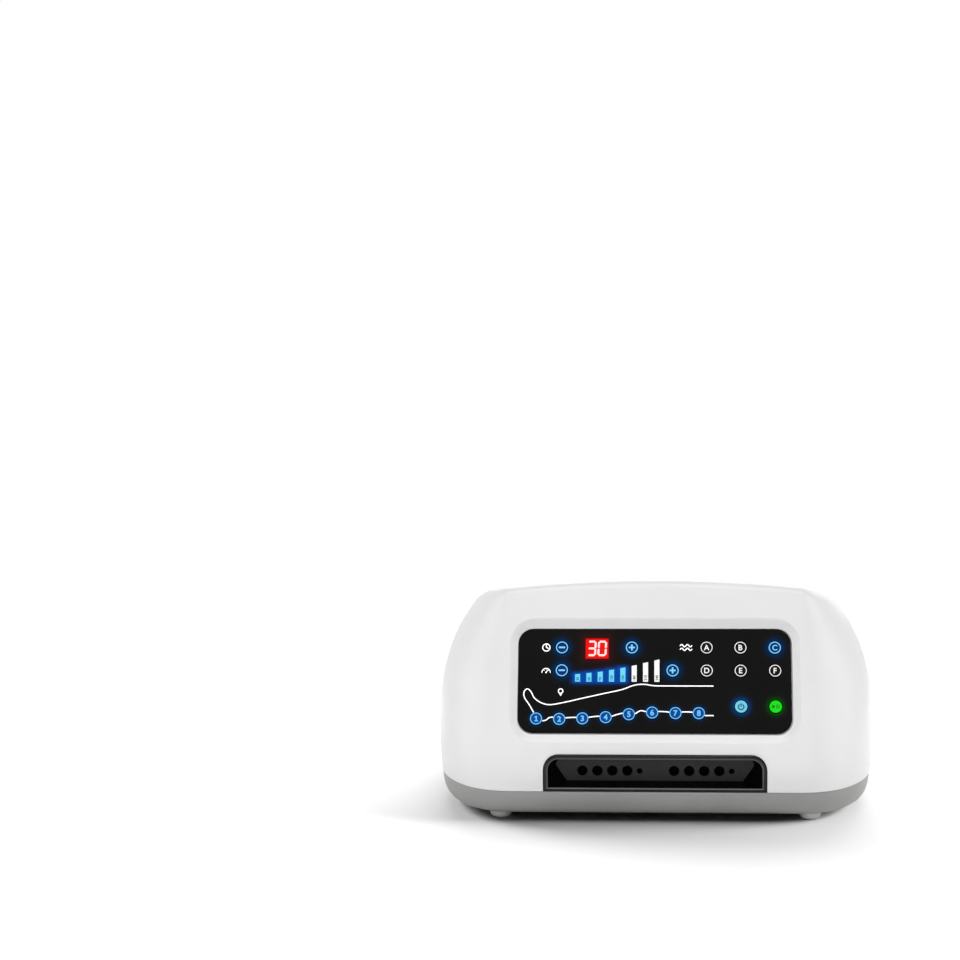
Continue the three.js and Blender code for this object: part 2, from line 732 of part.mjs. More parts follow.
// Key layout as shares of half the panel's width and height
const modeAcrossShares = [0.381, 0.628, 0.878];
const upperRowShare = 0.647;
const secondRowShare = 0.208;
const powerRowShare = -0.474;
const positionAcrossShare = -0.865;
const positionPitchShare = 0.1694;
const positionUpShares = [-0.713, -0.719, -0.707, -0.683, -0.625, -0.592, -0.601, -0.601];
const keyShares = {
  key_time_minus: [-0.68, upperRowShare],
  key_time_plus: [-0.166, upperRowShare],
  key_pressure_minus: [-0.68, secondRowShare],
  key_pressure_plus: [0.132, secondRowShare],
  key_power: [modeAcrossShares[1], powerRowShare],
  key_start_pause: [modeAcrossShares[2], powerRowShare],
};
['a', 'b', 'c', 'd', 'e', 'f'].forEach((letter, i) => {
  keyShares[`key_mode_${letter}`] = [modeAcrossShares[i % 3], i < 3 ? upperRowShare : secondRowShare];
});
positionUpShares.forEach((up, i) => {
  keyShares[`key_position_${i + 1}`] = [positionAcrossShare + i * positionPitchShare, up];
});
const onPanel = ([across, up]) => [across * panelWidth / 2, panelRise + up * panelHeight / 2];
const keyPlaces = Object.entries(keyShares).map(([name, shares]) => [name, ...onPanel(shares)]);
const [windowX, windowY] = onPanel([windowAcrossShare, windowUpShare]);
const panelPostPlaces = panelPostShares.map(onPanel);

function controlPanel() {
  const plate = toSolid(facePlate(panelWidth, panelHeight, panelRadius, -panelBack, -pocketDepth));
  const posts = panelPostPlaces.map(([x, y]) =>
    rod(panelPostRadius, -boardTop + fitGap, -panelBack + panelThickness / 2, x, y, 8));
  const holes = keyPlaces.map(([, x, y]) =>
    rod(keyDiameter / 2 + fitGap, -panelBack - overrun, overrun, x, y, 12));
  const window = block([windowX - windowWidth / 2, windowY - windowHeight / 2, -panelBack - overrun],
    [windowX + windowWidth / 2, windowY + windowHeight / 2, 0]);
  return cut(join(plate, ...posts), ...holes, window);
}

// Display lens: fills the window flush and is held from behind by its step
function displayLens() {
  const half = [windowWidth / 2 - fitGap, windowHeight / 2 - fitGap];
  const wide = half.map((value) => value + lensStep);
  const stepTop = -panelBack - fitGap;
  const front = block([windowX - half[0], windowY - half[1], stepTop - lensStep / 2],
    [windowX + half[0], windowY + half[1], -pocketDepth]);
  const step = block([windowX - wide[0], windowY - wide[1], stepTop - lensStep],
    [windowX + wide[0], windowY + wide[1], stepTop]);
  return join(front, step);
}

function controlBoard() {
  const half = [panelWidth / 2 - boardSideMargin, panelHeight / 2 - boardEndMargin];
  const plate = block([-half[0], panelRise - half[1], -boardTop - boardThickness],
    [half[0], panelRise + half[1], -boardTop]);
  const switches = keyPlaces.flatMap(([, x, y]) => [
    block([x - switchSize / 2, y - switchSize / 2, -boardTop - boardThickness / 2],
      [x + switchSize / 2, y + switchSize / 2, -boardTop + switchHeight * 0.7]),
    rod(keyStemDiameter / 2, -boardTop, -boardTop + switchHeight, x, y, 4),
  ]);
  return join(plate, ...switches);
}

// Two-digit display module between the lens and the board
function displayModule() {
  const top = panelBack + fitGap + lensStep + fitGap;
  const half = [windowWidth / 2, windowHeight / 2];
  const wide = half.map((value) => value + displayMargin);
  const body = block([windowX - wide[0], windowY - wide[1], -top - displayThickness + displayMargin],
    [windowX + wide[0], windowY + wide[1], -top]);
  const base = block([windowX - half[0], windowY - half[1], -boardTop + fitGap],
    [windowX + half[0], windowY + half[1], -top - displayThickness / 2]);
  return join(body, base);
}

// A key: disc flush with the panel, a flange that keeps it in, and a stem
function keySolid() {
  const flangeTop = -panelBack - fitGap;
  const flangeBottom = flangeTop - keyFlangeThickness;
  return toSolid(turned([
    [0, -stemEnd], [keyStemDiameter / 2, -stemEnd], [keyStemDiameter / 2, flangeBottom],
    [keyFlangeDiameter / 2, flangeBottom], [keyFlangeDiameter / 2, flangeTop],
    [keyDiameter / 2, flangeTop], [keyDiameter / 2, -pocketDepth], [0, -pocketDepth],
  ], 12));
}

// Feet and screws
function footSolid() {
  const top = undersideHeight - fitGap;
  const stud = top + footStudHeight;
  return toSolid(turned([
    [0, 0], [footContactRadius, 0], [footRadius * 0.88, top * 0.3], [footRadius, top * 0.75],
    [footRadius, top], [footStudRadius, top], [footStudRadius, stud], [0, stud],
  ], 16));
}

function screwSolid() {
  const head = wellTop - screwHeadHeight - fitGap;
  const profile = [
    [0, head], [screwHeadRadius, head], [screwHeadRadius, head + screwHeadHeight],
    [screwRadius, head + screwHeadHeight], [screwRadius, screwTop - screwRadius], [0, screwTop],
  ];
  const socket = rod(screwSocket, head - overrun, head + screwSocketDepth, 0, 0, 6);
  return cut(toSolid(turned(profile, 10)), socket);
}

// Valve manifold and one solenoid valve
const manifoldMiddleY = manifoldFrontY + manifoldDepth / 2;

function valveManifold() {
  const body = block([-manifoldHalfLength, manifoldFrontY, manifoldBottom],
    [manifoldHalfLength, manifoldBackY, manifoldTop]);
  const bores = socketPlaces.map((x) => rodAlongY(nippleDiameter / 2 + fitGap, manifoldFrontY - overrun,
    blockBackY + nippleLength + fitGap, x, socketHeight, 6));
  const inlet = rodAlongY(tubeBore, manifoldMiddleY, manifoldBackY + overrun, 0, socketHeight, 8);
  return cut(body, ...bores, inlet);
}

function valveSolid() {
  const low = manifoldTop + fitGap;
  const middle = low + valveBase;
  const high = middle + valveCoilHeight;
  const base = block([-valveWidth / 2, -valveDepth / 2, low], [valveWidth / 2, valveDepth / 2, middle]);
  const coil = rod(valveCoilRadius, middle - valveCap, high, 0, 0, 8);
  const yoke = block([-valveWidth / 2, -valveWidth / 2, high - valveCap],
    [valveWidth / 2, valveWidth / 2, high]);
  const cap = rod(valveCoilRadius / 2, high - valveCap, high + valveCap, 0, 0, 6);
  return join(base, coil, yoke, cap);
}

// Compressor, laid out around its own centre line along X
const bodyHalf = compressorLength / 2;

function compressorBody() {
  const stack = block([-bodyHalf, -compressorWidth / 2, compressorBottom],
    [bodyHalf, compressorWidth / 2, compressorBottom + compressorHeight]);
  const coils = [
    [compressorBottom - coilHeight + fitGap, compressorBottom + coilHeight],
    [compressorBottom + compressorHeight - coilHeight, compressorBottom + compressorHeight + coilHeight],
  ].map(([low, high]) => toSolid(flatPrism(roundedRing(coilWidth, coilWidth, coilHeight, 3), low, high)));
  const legs = mountPlaces.map(([x, y]) =>
    rod(mountRadius, mountTop + fitGap, compressorBottom + coilHeight, x - compressorX, y - compressorY, 8));
  const channel = block([-compressorLength, -channelWidth / 2, compressorMiddle - channelHeight / 2],
    [compressorLength, channelWidth / 2, compressorMiddle + channelHeight / 2]);
  return cut(join(stack, ...coils, ...legs), channel);
}

function compressorHead(side) {
  const low = bodyHalf + fitGap;
  const ring = roundedRing(headHeight, headWidth, headCorner, 3);
  const shell = toSolid(flatPrism(ring, low, low + headLength).rotateY(Math.PI / 2));
  const cavity = rodAlongX(headCavityRadius, low - overrun, low + headCavityDepth, 0, 0, 16);
  const outlet = rod(outletRadius, 0, headHeight / 2 + outletHeight, low + headLength / 2, 0, 8);
  const bore = rod(tubeBore, 0, headHeight / 2 + 2 * outletHeight, low + headLength / 2, 0, 6);
  const airway = rodAlongX(tubeBore, low, low + headLength / 2, 0, 0, 6);
  const solid = cut(join(shell, outlet), cavity, bore, airway).translate([0, 0, compressorMiddle]);
  return side > 0 ? solid : solid.mirror([1, 0, 0]);
}

function compressorArmature() {
  const reach = bodyHalf + discOffset;
  const bar = block([-reach, -armatureWidth / 2, compressorMiddle - armatureHeight / 2],
    [reach, armatureWidth / 2, compressorMiddle + armatureHeight / 2]);
  const magnetHalf = channelHeight / 2 - 2 * fitGap;
  const magnets = [-1, 1].map((side) => side * magnetLength * 0.8).map((x) => block(
    [x - magnetLength / 2, -armatureWidth / 2, compressorMiddle - magnetHalf],
    [x + magnetLength / 2, armatureWidth / 2, compressorMiddle + magnetHalf]));
  const discs = [-1, 1].map((side) => rodAlongX(discRadius, side * reach - discThickness / 2,
    side * reach + discThickness / 2, 0, compressorMiddle, 16));
  return join(bar, ...magnets, ...discs);
}

function mountSolid() {
  const low = floorTop + mountSeat + fitGap;
  const quarter = mountHeight / 4;
  return toSolid(turned([
    [0, low], [mountRadius, low], [mountRadius, low + quarter], [mountWaist, low + 2 * quarter],
    [mountRadius, low + 3 * quarter], [mountRadius, mountTop], [0, mountTop],
  ], 8));
}

// Feed tube over the manifold, from the right head's outlet down to the inlet
function feedTube() {
  const start = new THREE.Vector3(compressorX + bodyHalf + fitGap + headLength / 2, compressorY,
    compressorMiddle + headHeight / 2 + outletHeight + fitGap);
  const end = new THREE.Vector3(0, manifoldBackY + fitGap, socketHeight);
  const mix = THREE.MathUtils.lerp;
  const route = tubeRouteShares.map(({ across, back, drop, lift }) => new THREE.Vector3(
    mix(start.x, end.x, across),
    mix(start.y, end.y, back),
    mix(start.z, end.z, drop) + lift * tubeRise,
  ));
  const curve = new THREE.CatmullRomCurve3(route);
  const section = new THREE.Shape().absarc(0, 0, tubeRadius, 0, 2 * Math.PI);
  section.holes.push(new THREE.Path().absarc(0, 0, tubeBore, 0, 2 * Math.PI));
  const options = { steps: 12, curveSegments: 4, extrudePath: curve, bevelEnabled: false };
  return toSolid(new THREE.ExtrudeGeometry(section, options));
}

// Transformer: core, winding and foot flange as one potted piece
function transformerSolid() {
  const low = floorTop + railHeight + fitGap;
  const flangeHalf = coreWidth / 2 + footFlange;
  const flange = block([-flangeHalf, -coreDepth / 2, low], [flangeHalf, coreDepth / 2, low + footThickness]);
  const core = block([-coreWidth / 2, -coreDepth / 2, low], [coreWidth / 2, coreDepth / 2, low + coreHeight]);
  const winding = toSolid(flatPrism(roundedRing(windingWidth, windingDepth, windingRadius, 3),
    low + (coreHeight - windingHeight) / 2, low + (coreHeight + windingHeight) / 2));
  return join(flange, core, winding).translate([transformerX, transformerY, 0]);
}

// Main board with its tallest components
function mainBoard() {
  const half = mainBoardHalf;
  const sunk = mainBoardTop - boardThickness / 2;
  const plate = block([-half[0], -half[1], mainBoardBottom], [half[0], half[1], mainBoardTop]);
  const capacitors = [-0.7, -0.4].map((share) =>
    rod(capacitorRadius, sunk, mainBoardTop + capacitorHeight, share * half[0], -half[1] * 0.4, 12));
  const relay = block([-half[0] * 0.7, half[1] * 0.1, sunk],
    [-half[0] * 0.7 + relayWidth, half[1] * 0.1 + relayDepth, mainBoardTop + relayHeight]);
  const sinkFront = half[1] * 0.2;
  const sinkTop = mainBoardTop + sinkHeight;
  const sinkBase = block([0, sinkFront, sunk], [sinkWidth, sinkFront + sinkFin, sinkTop]);
  const fins = Array.from({ length: sinkFins }, (_, i) => {
    const x = i * (sinkWidth - sinkFin) / (sinkFins - 1);
    return block([x, sinkFront, sunk], [x + sinkFin, sinkFront + sinkDepth, sinkTop]);
  });
  return join(plate, ...capacitors, relay, sinkBase, ...fins).translate([...mainBoardMiddle, 0]);
}

// Ribbon cable: a flat strip that hangs from the control board to the main board
function ribbonCable() {
  const boardBack = -boardTop - boardThickness - fitGap - ribbonThickness;
  const start = new THREE.Vector3(0, panelRise - panelHeight * 0.3, boardBack).applyMatrix4(face.matrixWorld);
  const end = new THREE.Vector3(0, mainBoardLow[1] + mainPostInset, mainBoardTop + fitGap + ribbonThickness);
  const curve = new THREE.CubicBezierCurve3(start,
    new THREE.Vector3(0, start.y + panelHeight / 4, start.z - panelHeight / 3),
    new THREE.Vector3(0, end.y - panelHeight / 4, end.z), end);
  const spine = curve.getPoints(10);
  const edge = (offset) => spine.map((p, i) => {
    const t = curve.getTangent(i / 10);
    return new THREE.Vector2(p.y - t.z * offset, p.z + t.y * offset);
  });
  const half = ribbonThickness / 2;
  const shape = new THREE.Shape([...edge(half), ...edge(-half).reverse()]);
  const strip = new THREE.ExtrudeGeometry(shape, { depth: ribbonWidth, bevelEnabled: false });
  strip.applyMatrix4(new THREE.Matrix4().makeBasis(new THREE.Vector3(0, 1, 0), new THREE.Vector3(0, 0, 1),
    new THREE.Vector3(1, 0, 0)));
  const across = THREE.MathUtils.lerp(manifoldHalfLength, screwX - columnRadius, ribbonAcrossShare);
  return toSolid(strip.translate(across - ribbonWidth / 2, 0, 0));
}

// Mains inlet: flange, body, bevelled cavity and three contact blades
function mainsInlet() {
  const flangeFront = serviceY + fitGap + inletFlange;
  const flangeRing = roundedRing(inletFlangeWidth, inletFlangeHeight, inletCavityBevel, 3);
  const flange = toSolid(flatPrism(flangeRing, 0, inletFlange)
    .rotateX(-Math.PI / 2).translate(0, serviceY + fitGap, 0));
  const body = block([-inletWidth / 2, serviceY - inletDepth, -inletHeight / 2],
    [inletWidth / 2, serviceY + fitGap + inletFlange / 2, inletHeight / 2]);
  const half = [inletCavityWidth / 2, inletCavityHeight / 2];
  const bevelled = half.map((value) => value - inletCavityBevel);
  const ring = [[-half[0], -half[1]], [half[0], -half[1]], [half[0], bevelled[1]],
    [bevelled[0], half[1]], [-bevelled[0], half[1]], [-half[0], bevelled[1]]];
  const cavityFloor = flangeFront - inletCavityDepth;
  const cavity = toSolid(loft([cavityFloor, flangeFront + overrun].map((y) =>
    ring.map(([x, z]) => [x, y, z]))));
  const bladePlaces = [[-contactPitch, -contactDrop / 2], [0, contactDrop], [contactPitch, -contactDrop / 2]];
  const blades = bladePlaces.map(([x, z]) => block(
    [x - contactThickness / 2, cavityFloor - contactThickness, z - contactWidth / 2],
    [x + contactThickness / 2, cavityFloor + contactLength, z + contactWidth / 2]));
  return join(cut(join(flange, body), cavity), ...blades).translate([inletX, 0, serviceHeight]);
}

// Power switch: a snap-in frame and its rocker
const pivotY = serviceY + fitGap + rockerFrameFlange - rockerPivotDepth;
const rockerHalfWidth = rockerCutWidth / 2 - rockerFrameWall - fitGap;

function switchFrame() {
  const flange = block([-rockerFrameWidth / 2, serviceY + fitGap, -rockerFrameHeight / 2],
    [rockerFrameWidth / 2, serviceY + fitGap + rockerFrameFlange, rockerFrameHeight / 2]);
  const body = block([-rockerCutWidth / 2, serviceY - rockerFrameDepth, -rockerCutHeight / 2],
    [rockerCutWidth / 2, serviceY + fitGap + rockerFrameFlange / 2, rockerCutHeight / 2]);
  const insideHalf = [rockerHalfWidth + fitGap, (rockerCutHeight - rockerFrameWall) / 2];
  const inside = block([-insideHalf[0], pivotY - rockerReach, -insideHalf[1]],
    [insideHalf[0], serviceY + overrun, insideHalf[1]]);
  const socketEnd = insideHalf[0] + rockerPinLength + fitGap;
  const sockets = rodAlongX(rockerPinRadius + fitGap, -socketEnd, socketEnd, pivotY, 0, 12);
  return cut(join(flange, body), inside, sockets).translate([rockerX, 0, serviceHeight]);
}

function switchRocker() {
  const top = rockerPivotDepth - rockerFrameFlange / 2;
  const side = rockerCutHeight / 2 - rockerFrameWall;
  const profile = [[-side * 0.92, -rockerReach * 0.45], [side * 0.92, -rockerReach * 0.45], [side, top * 0.4],
    [side * 0.9, top + rockerDish], [side * 0.4, top + rockerDish * 0.2], [0, top - rockerDish * 0.1],
    [-side * 0.4, top + rockerDish * 0.2], [-side * 0.9, top + rockerDish], [-side, top * 0.4]];
  const body = toSolid(loft([-rockerHalfWidth, rockerHalfWidth].map((x) =>
    profile.map(([z, y]) => [x, y, z]))));
  const pinEnd = rockerHalfWidth + rockerPinLength;
  const pins = rodAlongX(rockerPinRadius, -pinEnd, pinEnd, 0, 0, 12);
  const turn = THREE.MathUtils.radToDeg(rockerSwing);
  return join(body, pins).rotate([turn, 0, 0]).translate([rockerX, pivotY, serviceHeight]);
}

// Assembly
const compressorPlace = [compressorX, compressorY, 0];
addPiece('upper_shell', upperShell(), 'whiteShell');
addPiece('lower_shell', lowerShell(), 'greyShell');
addPiece('port_bay', portBay(), 'bayBlack');
addPiece('port_block', portBlock(), 'bayBlack');
addPiece('control_panel', controlPanel(), 'panelBlack', face);
addPiece('display_lens', displayLens(), 'lensRed', face);
addPiece('display_module', displayModule(), 'valvePlastic', face);
addPiece('control_board', controlBoard(), 'board', face);
const key = keySolid();
for (const [name, x, y] of keyPlaces) {
  addPiece(name, key.translate([x, y, 0]), 'keyBlack', face);
}
for (const [side, sign] of [['left', -1], ['right', 1]]) {
  for (const [end, y] of Object.entries(footPlaces)) {
    addPiece(`foot_${end}_${side}`, footSolid().translate([sign * footX, y, 0]), 'rubber');
  }
  addPiece(`compressor_head_${side}`, compressorHead(sign).translate(compressorPlace), 'aluminium');
}
screwPlaces.forEach(([x, y], i) => {
  addPiece(`case_screw_${i + 1}`, screwSolid().translate([x, y, 0]), 'steel');
});
mountPlaces.forEach(([x, y], i) => {
  addPiece(`compressor_mount_${i + 1}`, mountSolid().translate([x, y, 0]), 'darkRubber');
});
addPiece('compressor_body', compressorBody().translate(compressorPlace), 'steel');
addPiece('compressor_armature', compressorArmature().translate(compressorPlace), 'steel');
addPiece('valve_manifold', valveManifold(), 'valvePlastic');
for (let i = 0; i < valveCount; i += 1) {
  const x = (i - (valveCount - 1) / 2) * valvePitch;
  addPiece(`valve_${i + 1}`, valveSolid().translate([x, manifoldMiddleY, 0]), 'valvePlastic');
}
addPiece('feed_tube', feedTube(), 'tube');
addPiece('transformer', transformerSolid(), 'copper');
addPiece('main_board', mainBoard(), 'board');
addPiece('ribbon_cable', ribbonCable(), 'cable');
addPiece('mains_inlet', mainsInlet(), 'bayBlack');
addPiece('switch_frame', switchFrame(), 'bayBlack');
addPiece('switch_rocker', switchRocker(), 'bayBlack');

export default device;
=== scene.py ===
from math import cos, hypot, pi, radians, sin, tan

import bmesh
import bpy
import numpy as np
from mathutils import Matrix, Vector


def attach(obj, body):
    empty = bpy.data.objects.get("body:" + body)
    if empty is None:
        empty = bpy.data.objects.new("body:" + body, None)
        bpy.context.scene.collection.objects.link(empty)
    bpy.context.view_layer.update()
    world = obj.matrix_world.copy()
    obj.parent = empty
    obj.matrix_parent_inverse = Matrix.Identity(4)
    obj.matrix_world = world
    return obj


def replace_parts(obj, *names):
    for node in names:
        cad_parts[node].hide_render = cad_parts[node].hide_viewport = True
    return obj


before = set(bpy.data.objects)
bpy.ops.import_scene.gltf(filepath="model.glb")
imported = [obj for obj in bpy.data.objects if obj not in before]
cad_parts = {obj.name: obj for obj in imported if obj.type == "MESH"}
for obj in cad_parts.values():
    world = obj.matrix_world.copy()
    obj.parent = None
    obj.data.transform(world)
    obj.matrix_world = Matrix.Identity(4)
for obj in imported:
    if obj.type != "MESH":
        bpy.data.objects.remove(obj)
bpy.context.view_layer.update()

mm = 0.001
print("stage: frame loaded")

# Camera at the photograph's angle, in metres and degrees
camera = dict(place=(0, -1.2717, 0.3624), pitch=10.02, yaw=-3.88, roll=-0.75, sensor=36, lens=73.9,
              shiftX=-0.0446, shiftY=0.1, near=0.05)


def addObject(name, data):
    obj = bpy.data.objects.new(name, data)
    bpy.context.scene.collection.objects.link(obj)
    return obj


def makeCamera(scene):
    data = bpy.data.cameras.new("view_camera")
    data.sensor_width = camera["sensor"]
    data.lens = camera["lens"]
    data.shift_x = camera["shiftX"]
    data.shift_y = camera["shiftY"]
    data.clip_start = camera["near"]
    obj = addObject("view_camera", data)
    yaw, pitch, roll = (radians(camera[name]) for name in ("yaw", "pitch", "roll"))
    turn = Matrix.Rotation(-yaw, 4, "Z") @ Matrix.Rotation(pi / 2 - pitch, 4, "X")
    obj.matrix_world = Matrix.Translation(camera["place"]) @ turn @ Matrix.Rotation(roll, 4, "Z")
    scene.camera = obj


# Fills a node's sockets, each with a value, a socket that feeds it, or a node whose first output does
def feed(tree, node, inputs):
    for name, value in inputs.items():
        if isinstance(value, bpy.types.Node):
            value = value.outputs[0]
        if isinstance(value, bpy.types.NodeSocket):
            tree.links.new(value, node.inputs[name])
        else:
            node.inputs[name].default_value = value


def addNode(tree, kind, inputs=None, **settings):
    node = tree.nodes.new(f"ShaderNode{kind}")
    for name, value in settings.items():
        setattr(node, name, value)
    feed(tree, node, inputs or {})
    return node


def grey(level):
    return (level, level, level, 1)


# Studio: a pale floor and soft light from all sides; four of the lamps light the floor alone
studio = dict(zenith=0.06, horizon=0.04, under=0.8, blend=(0.49, 0.51), backdrop=1.0, floor=0.4,
              floorSeen=0.44, reach=3, near=0.36, far=0.7, aim=(0, 0, 0.06))
# Place, diameter and power of each lamp
floorLamps = dict(floor_rear=((0, 1.149, 0.964), 1.5, 57), floor_high=((0.745, 0.43, 1.229), 0.8, 6),
                  floor_left=((-1.177, 0.68, 0.634), 0.8, 50), floor_right=((1.36, 0, 0.634), 0.8, 64))
objectLamps = dict(top_light=((0, -0.2, 1.9), 1.5, 16), front_light=((-0.3, -2.2, 1.1), 2.6, 21),
                   left_light=((-1.8, -0.35, 0.7), 2.0, 10.6), right_light=((1.8, -0.35, 0.7), 2.0, 12.2),
                   back_light=((0.3, 2.0, 0.8), 2.0, 7))


def makeWorld(scene):
    scene.world = bpy.data.worlds.new("studio_world")
    scene.world.use_nodes = True
    tree = scene.world.node_tree
    tree.nodes.clear()
    place = addNode(tree, "TexCoord")
    height = addNode(tree, "SeparateXYZ", {0: place.outputs["Generated"]})
    spread = addNode(tree, "MapRange", {"From Min": -1, "Value": height.outputs["Z"]})
    ramp = addNode(tree, "ValToRGB", {"Fac": spread})
    stops = ramp.color_ramp.elements
    stops[0].position, stops[1].position = studio["blend"]
    levels = [grey(studio[name]) for name in ("under", "horizon", "zenith")]
    stops[0].color, stops[1].color, stops.new(1).color = levels
    path = addNode(tree, "LightPath")
    either = path.outputs["Is Camera Ray"]
    for ray in ("Is Glossy Ray", "Is Transmission Ray"):
        either = addNode(tree, "Math", {0: either, 1: path.outputs[ray]}, operation="MAXIMUM")
    light = addNode(tree, "Background", {"Color": ramp})
    seen = addNode(tree, "Background", {"Color": grey(1), "Strength": studio["backdrop"]})
    mix = addNode(tree, "MixShader", {"Fac": either, 1: light, 2: seen})
    addNode(tree, "OutputWorld", {"Surface": mix})


# The floor fades into the backdrop, and what the camera sees of it is paler than what it throws back
def makeFloor():
    mesh = bpy.data.meshes.new("studio_floor")
    corners = [(x * studio["reach"], y * studio["reach"], 0) for x, y in ((-1, -1), (1, -1), (1, 1), (-1, 1))]
    mesh.from_pydata(corners, [], [(0, 1, 2, 3)])
    floor = addObject("studio_floor", mesh)
    finish = bpy.data.materials.new("floor_finish")
    finish.use_nodes = True
    tree = finish.node_tree
    tree.nodes.clear()
    thrown, seen = (addNode(tree, "BsdfDiffuse", {"Color": grey(studio[name])})
                    for name in ("floor", "floorSeen"))
    path, clear, place = (addNode(tree, kind) for kind in ("LightPath", "BsdfTransparent", "TexCoord"))
    length = addNode(tree, "VectorMath", {0: place.outputs["Object"]}, operation="LENGTH")
    fade = addNode(tree, "MapRange", {"From Min": studio["near"], "From Max": studio["far"],
                                      "Value": length.outputs["Value"]}, interpolation_type="SMOOTHSTEP")
    byRay = addNode(tree, "MixShader", {"Fac": path.outputs["Is Camera Ray"], 1: thrown, 2: seen})
    byPlace = addNode(tree, "MixShader", {"Fac": fade, 1: byRay, 2: clear})
    addNode(tree, "OutputMaterial", {"Surface": byPlace})
    mesh.materials.append(finish)
    return floor


def makeStudio(scene):
    scene.view_settings.view_transform = "Standard"
    makeWorld(scene)
    floor = makeFloor()
    floorOnly, floorLeft = (bpy.data.collections.new(name) for name in ("floor_alone", "all_but_the_floor"))
    floorOnly.objects.link(floor)
    floorLeft.objects.link(floor)
    floorLeft.collection_objects[0].light_linking.link_state = "EXCLUDE"
    for name, (place, size, power) in {**floorLamps, **objectLamps}.items():
        data = bpy.data.lights.new(name, "AREA")
        data.shape = "DISK"
        data.size = size
        data.energy = power
        obj = addObject(name, data)
        obj.location = place
        aim = Vector(studio["aim"]) - obj.location
        obj.rotation_euler = aim.to_track_quat("-Z", "Y").to_euler()
        obj.light_linking.receiver_collection = floorOnly if name in floorLamps else floorLeft


makeCamera(bpy.context.scene)
makeStudio(bpy.context.scene)
print("stage: camera and studio")


# A colour of a picture, from 0 to 255, as the light that it stands for
def linear(r, g, b):
    return tuple(((c / 255 + 0.055) / 1.055) ** 2.4 if c > 10 else c / 255 / 12.92 for c in (r, g, b))


# Noise of every finish: the cloud in its colour, the smear in its roughness and the grain of its relief
noise = dict(cloudDetail=4, blend=(0.35, 0.65), smear=120, smearDetail=3, grainDetail=2)

finishes = {}


# A procedural finish in object coordinates: the two colours that it drifts between, its range of roughness,
# depth in millimetres, and cloud and grain in waves a metre
def makeFinish(name, low, high, rough, relief=0.2, depth=0.04, specular=0.5, metallic=0, cloud=40, grain=1500,
               stretch=None, glow=None, painted=None):
    finish = bpy.data.materials.new(name)
    finish.use_nodes = True
    tree = finish.node_tree
    tone = tree.nodes["Principled BSDF"]
    place = addNode(tree, "TexCoord").outputs["Object"]
    drift = addNode(tree, "TexNoise", {"Scale": cloud, "Detail": noise["cloudDetail"], "Vector": place})
    ramp = addNode(tree, "ValToRGB", {"Fac": drift})
    for stop, position, colour in zip(ramp.color_ramp.elements, noise["blend"], (low, high)):
        stop.position = position
        stop.color = (*linear(*colour), 1)
    smear = addNode(tree, "TexNoise",
                    {"Scale": noise["smear"], "Detail": noise["smearDetail"], "Vector": place})
    spread = addNode(tree, "MapRange", {"To Min": rough[0], "To Max": rough[1], "Value": smear})
    along = addNode(tree, "Mapping", {"Scale": stretch, "Vector": place}) if stretch else place
    grains = addNode(tree, "TexNoise", {"Scale": grain, "Detail": noise["grainDetail"], "Vector": along})
    bump = addNode(tree, "Bump", {"Strength": relief, "Distance": depth * mm, "Height": grains})
    feed(tree, tone, {"Base Color": ramp, "Roughness": spread, "Normal": bump, "Metallic": metallic,
                      "Specular IOR Level": specular})
    if glow:
        feed(tree, tone, {"Emission Color": (*linear(*glow), 1), "Emission Strength": 1})
    # Painted glow from a colour attribute: its colour is emitted, and its alpha darkens the base colour and
    # specular under the glow
    if painted:
        paint = addNode(tree, "Attribute", attribute_name=painted)
        left = paint.outputs["Alpha"]
        dimmed = addNode(tree, "VectorMath", {0: ramp, "Scale": left}, operation="SCALE")
        sheen = addNode(tree, "Math", {0: left, 1: specular}, operation="MULTIPLY")
        feed(tree, tone, {"Base Color": dimmed, "Specular IOR Level": sheen, "Emission Color": paint,
                          "Emission Strength": 1})
    finishes[name] = finish


def makePrint(name, low, high, glow):
    makeFinish(name, low, high, (0.3, 0.4), relief=0.03, specular=0.2, glow=glow)


makeFinish("white_shell", (231, 231, 232), (234, 234, 235), (0.285, 0.34), relief=0.05, depth=0.02,
           specular=0.42, cloud=14, grain=1300)
makeFinish("grey_shell", (152, 152, 151), (159, 159, 158), (0.36, 0.46), relief=0.3, specular=0.35, cloud=18,
           grain=1400)
# The black panel, with a painted glow round its lit keys, bars and display
makeFinish("panel_black", (11, 11, 11), (14, 14, 13), (0.1, 0.16), relief=0.03, specular=0.03, cloud=30,
           grain=300, painted="glow")
makeFinish("bay_rim", (24, 25, 26), (30, 31, 32), (0.28, 0.36), relief=0.25, specular=0.2, grain=1800)
# The funnel rim's inner edge, lighter than the rest of the rim: a painted highlight, together with a real
# smoother gloss
makeFinish("bay_edge_painted_highlight", (74, 75, 77), (82, 83, 85), (0.2, 0.265), relief=0.15, depth=0.03, grain=1800)
makeFinish("bay_black", (8, 8, 9), (12, 12, 13), (0.38, 0.5), relief=0.35, depth=0.05, specular=0.1,
           grain=1600)
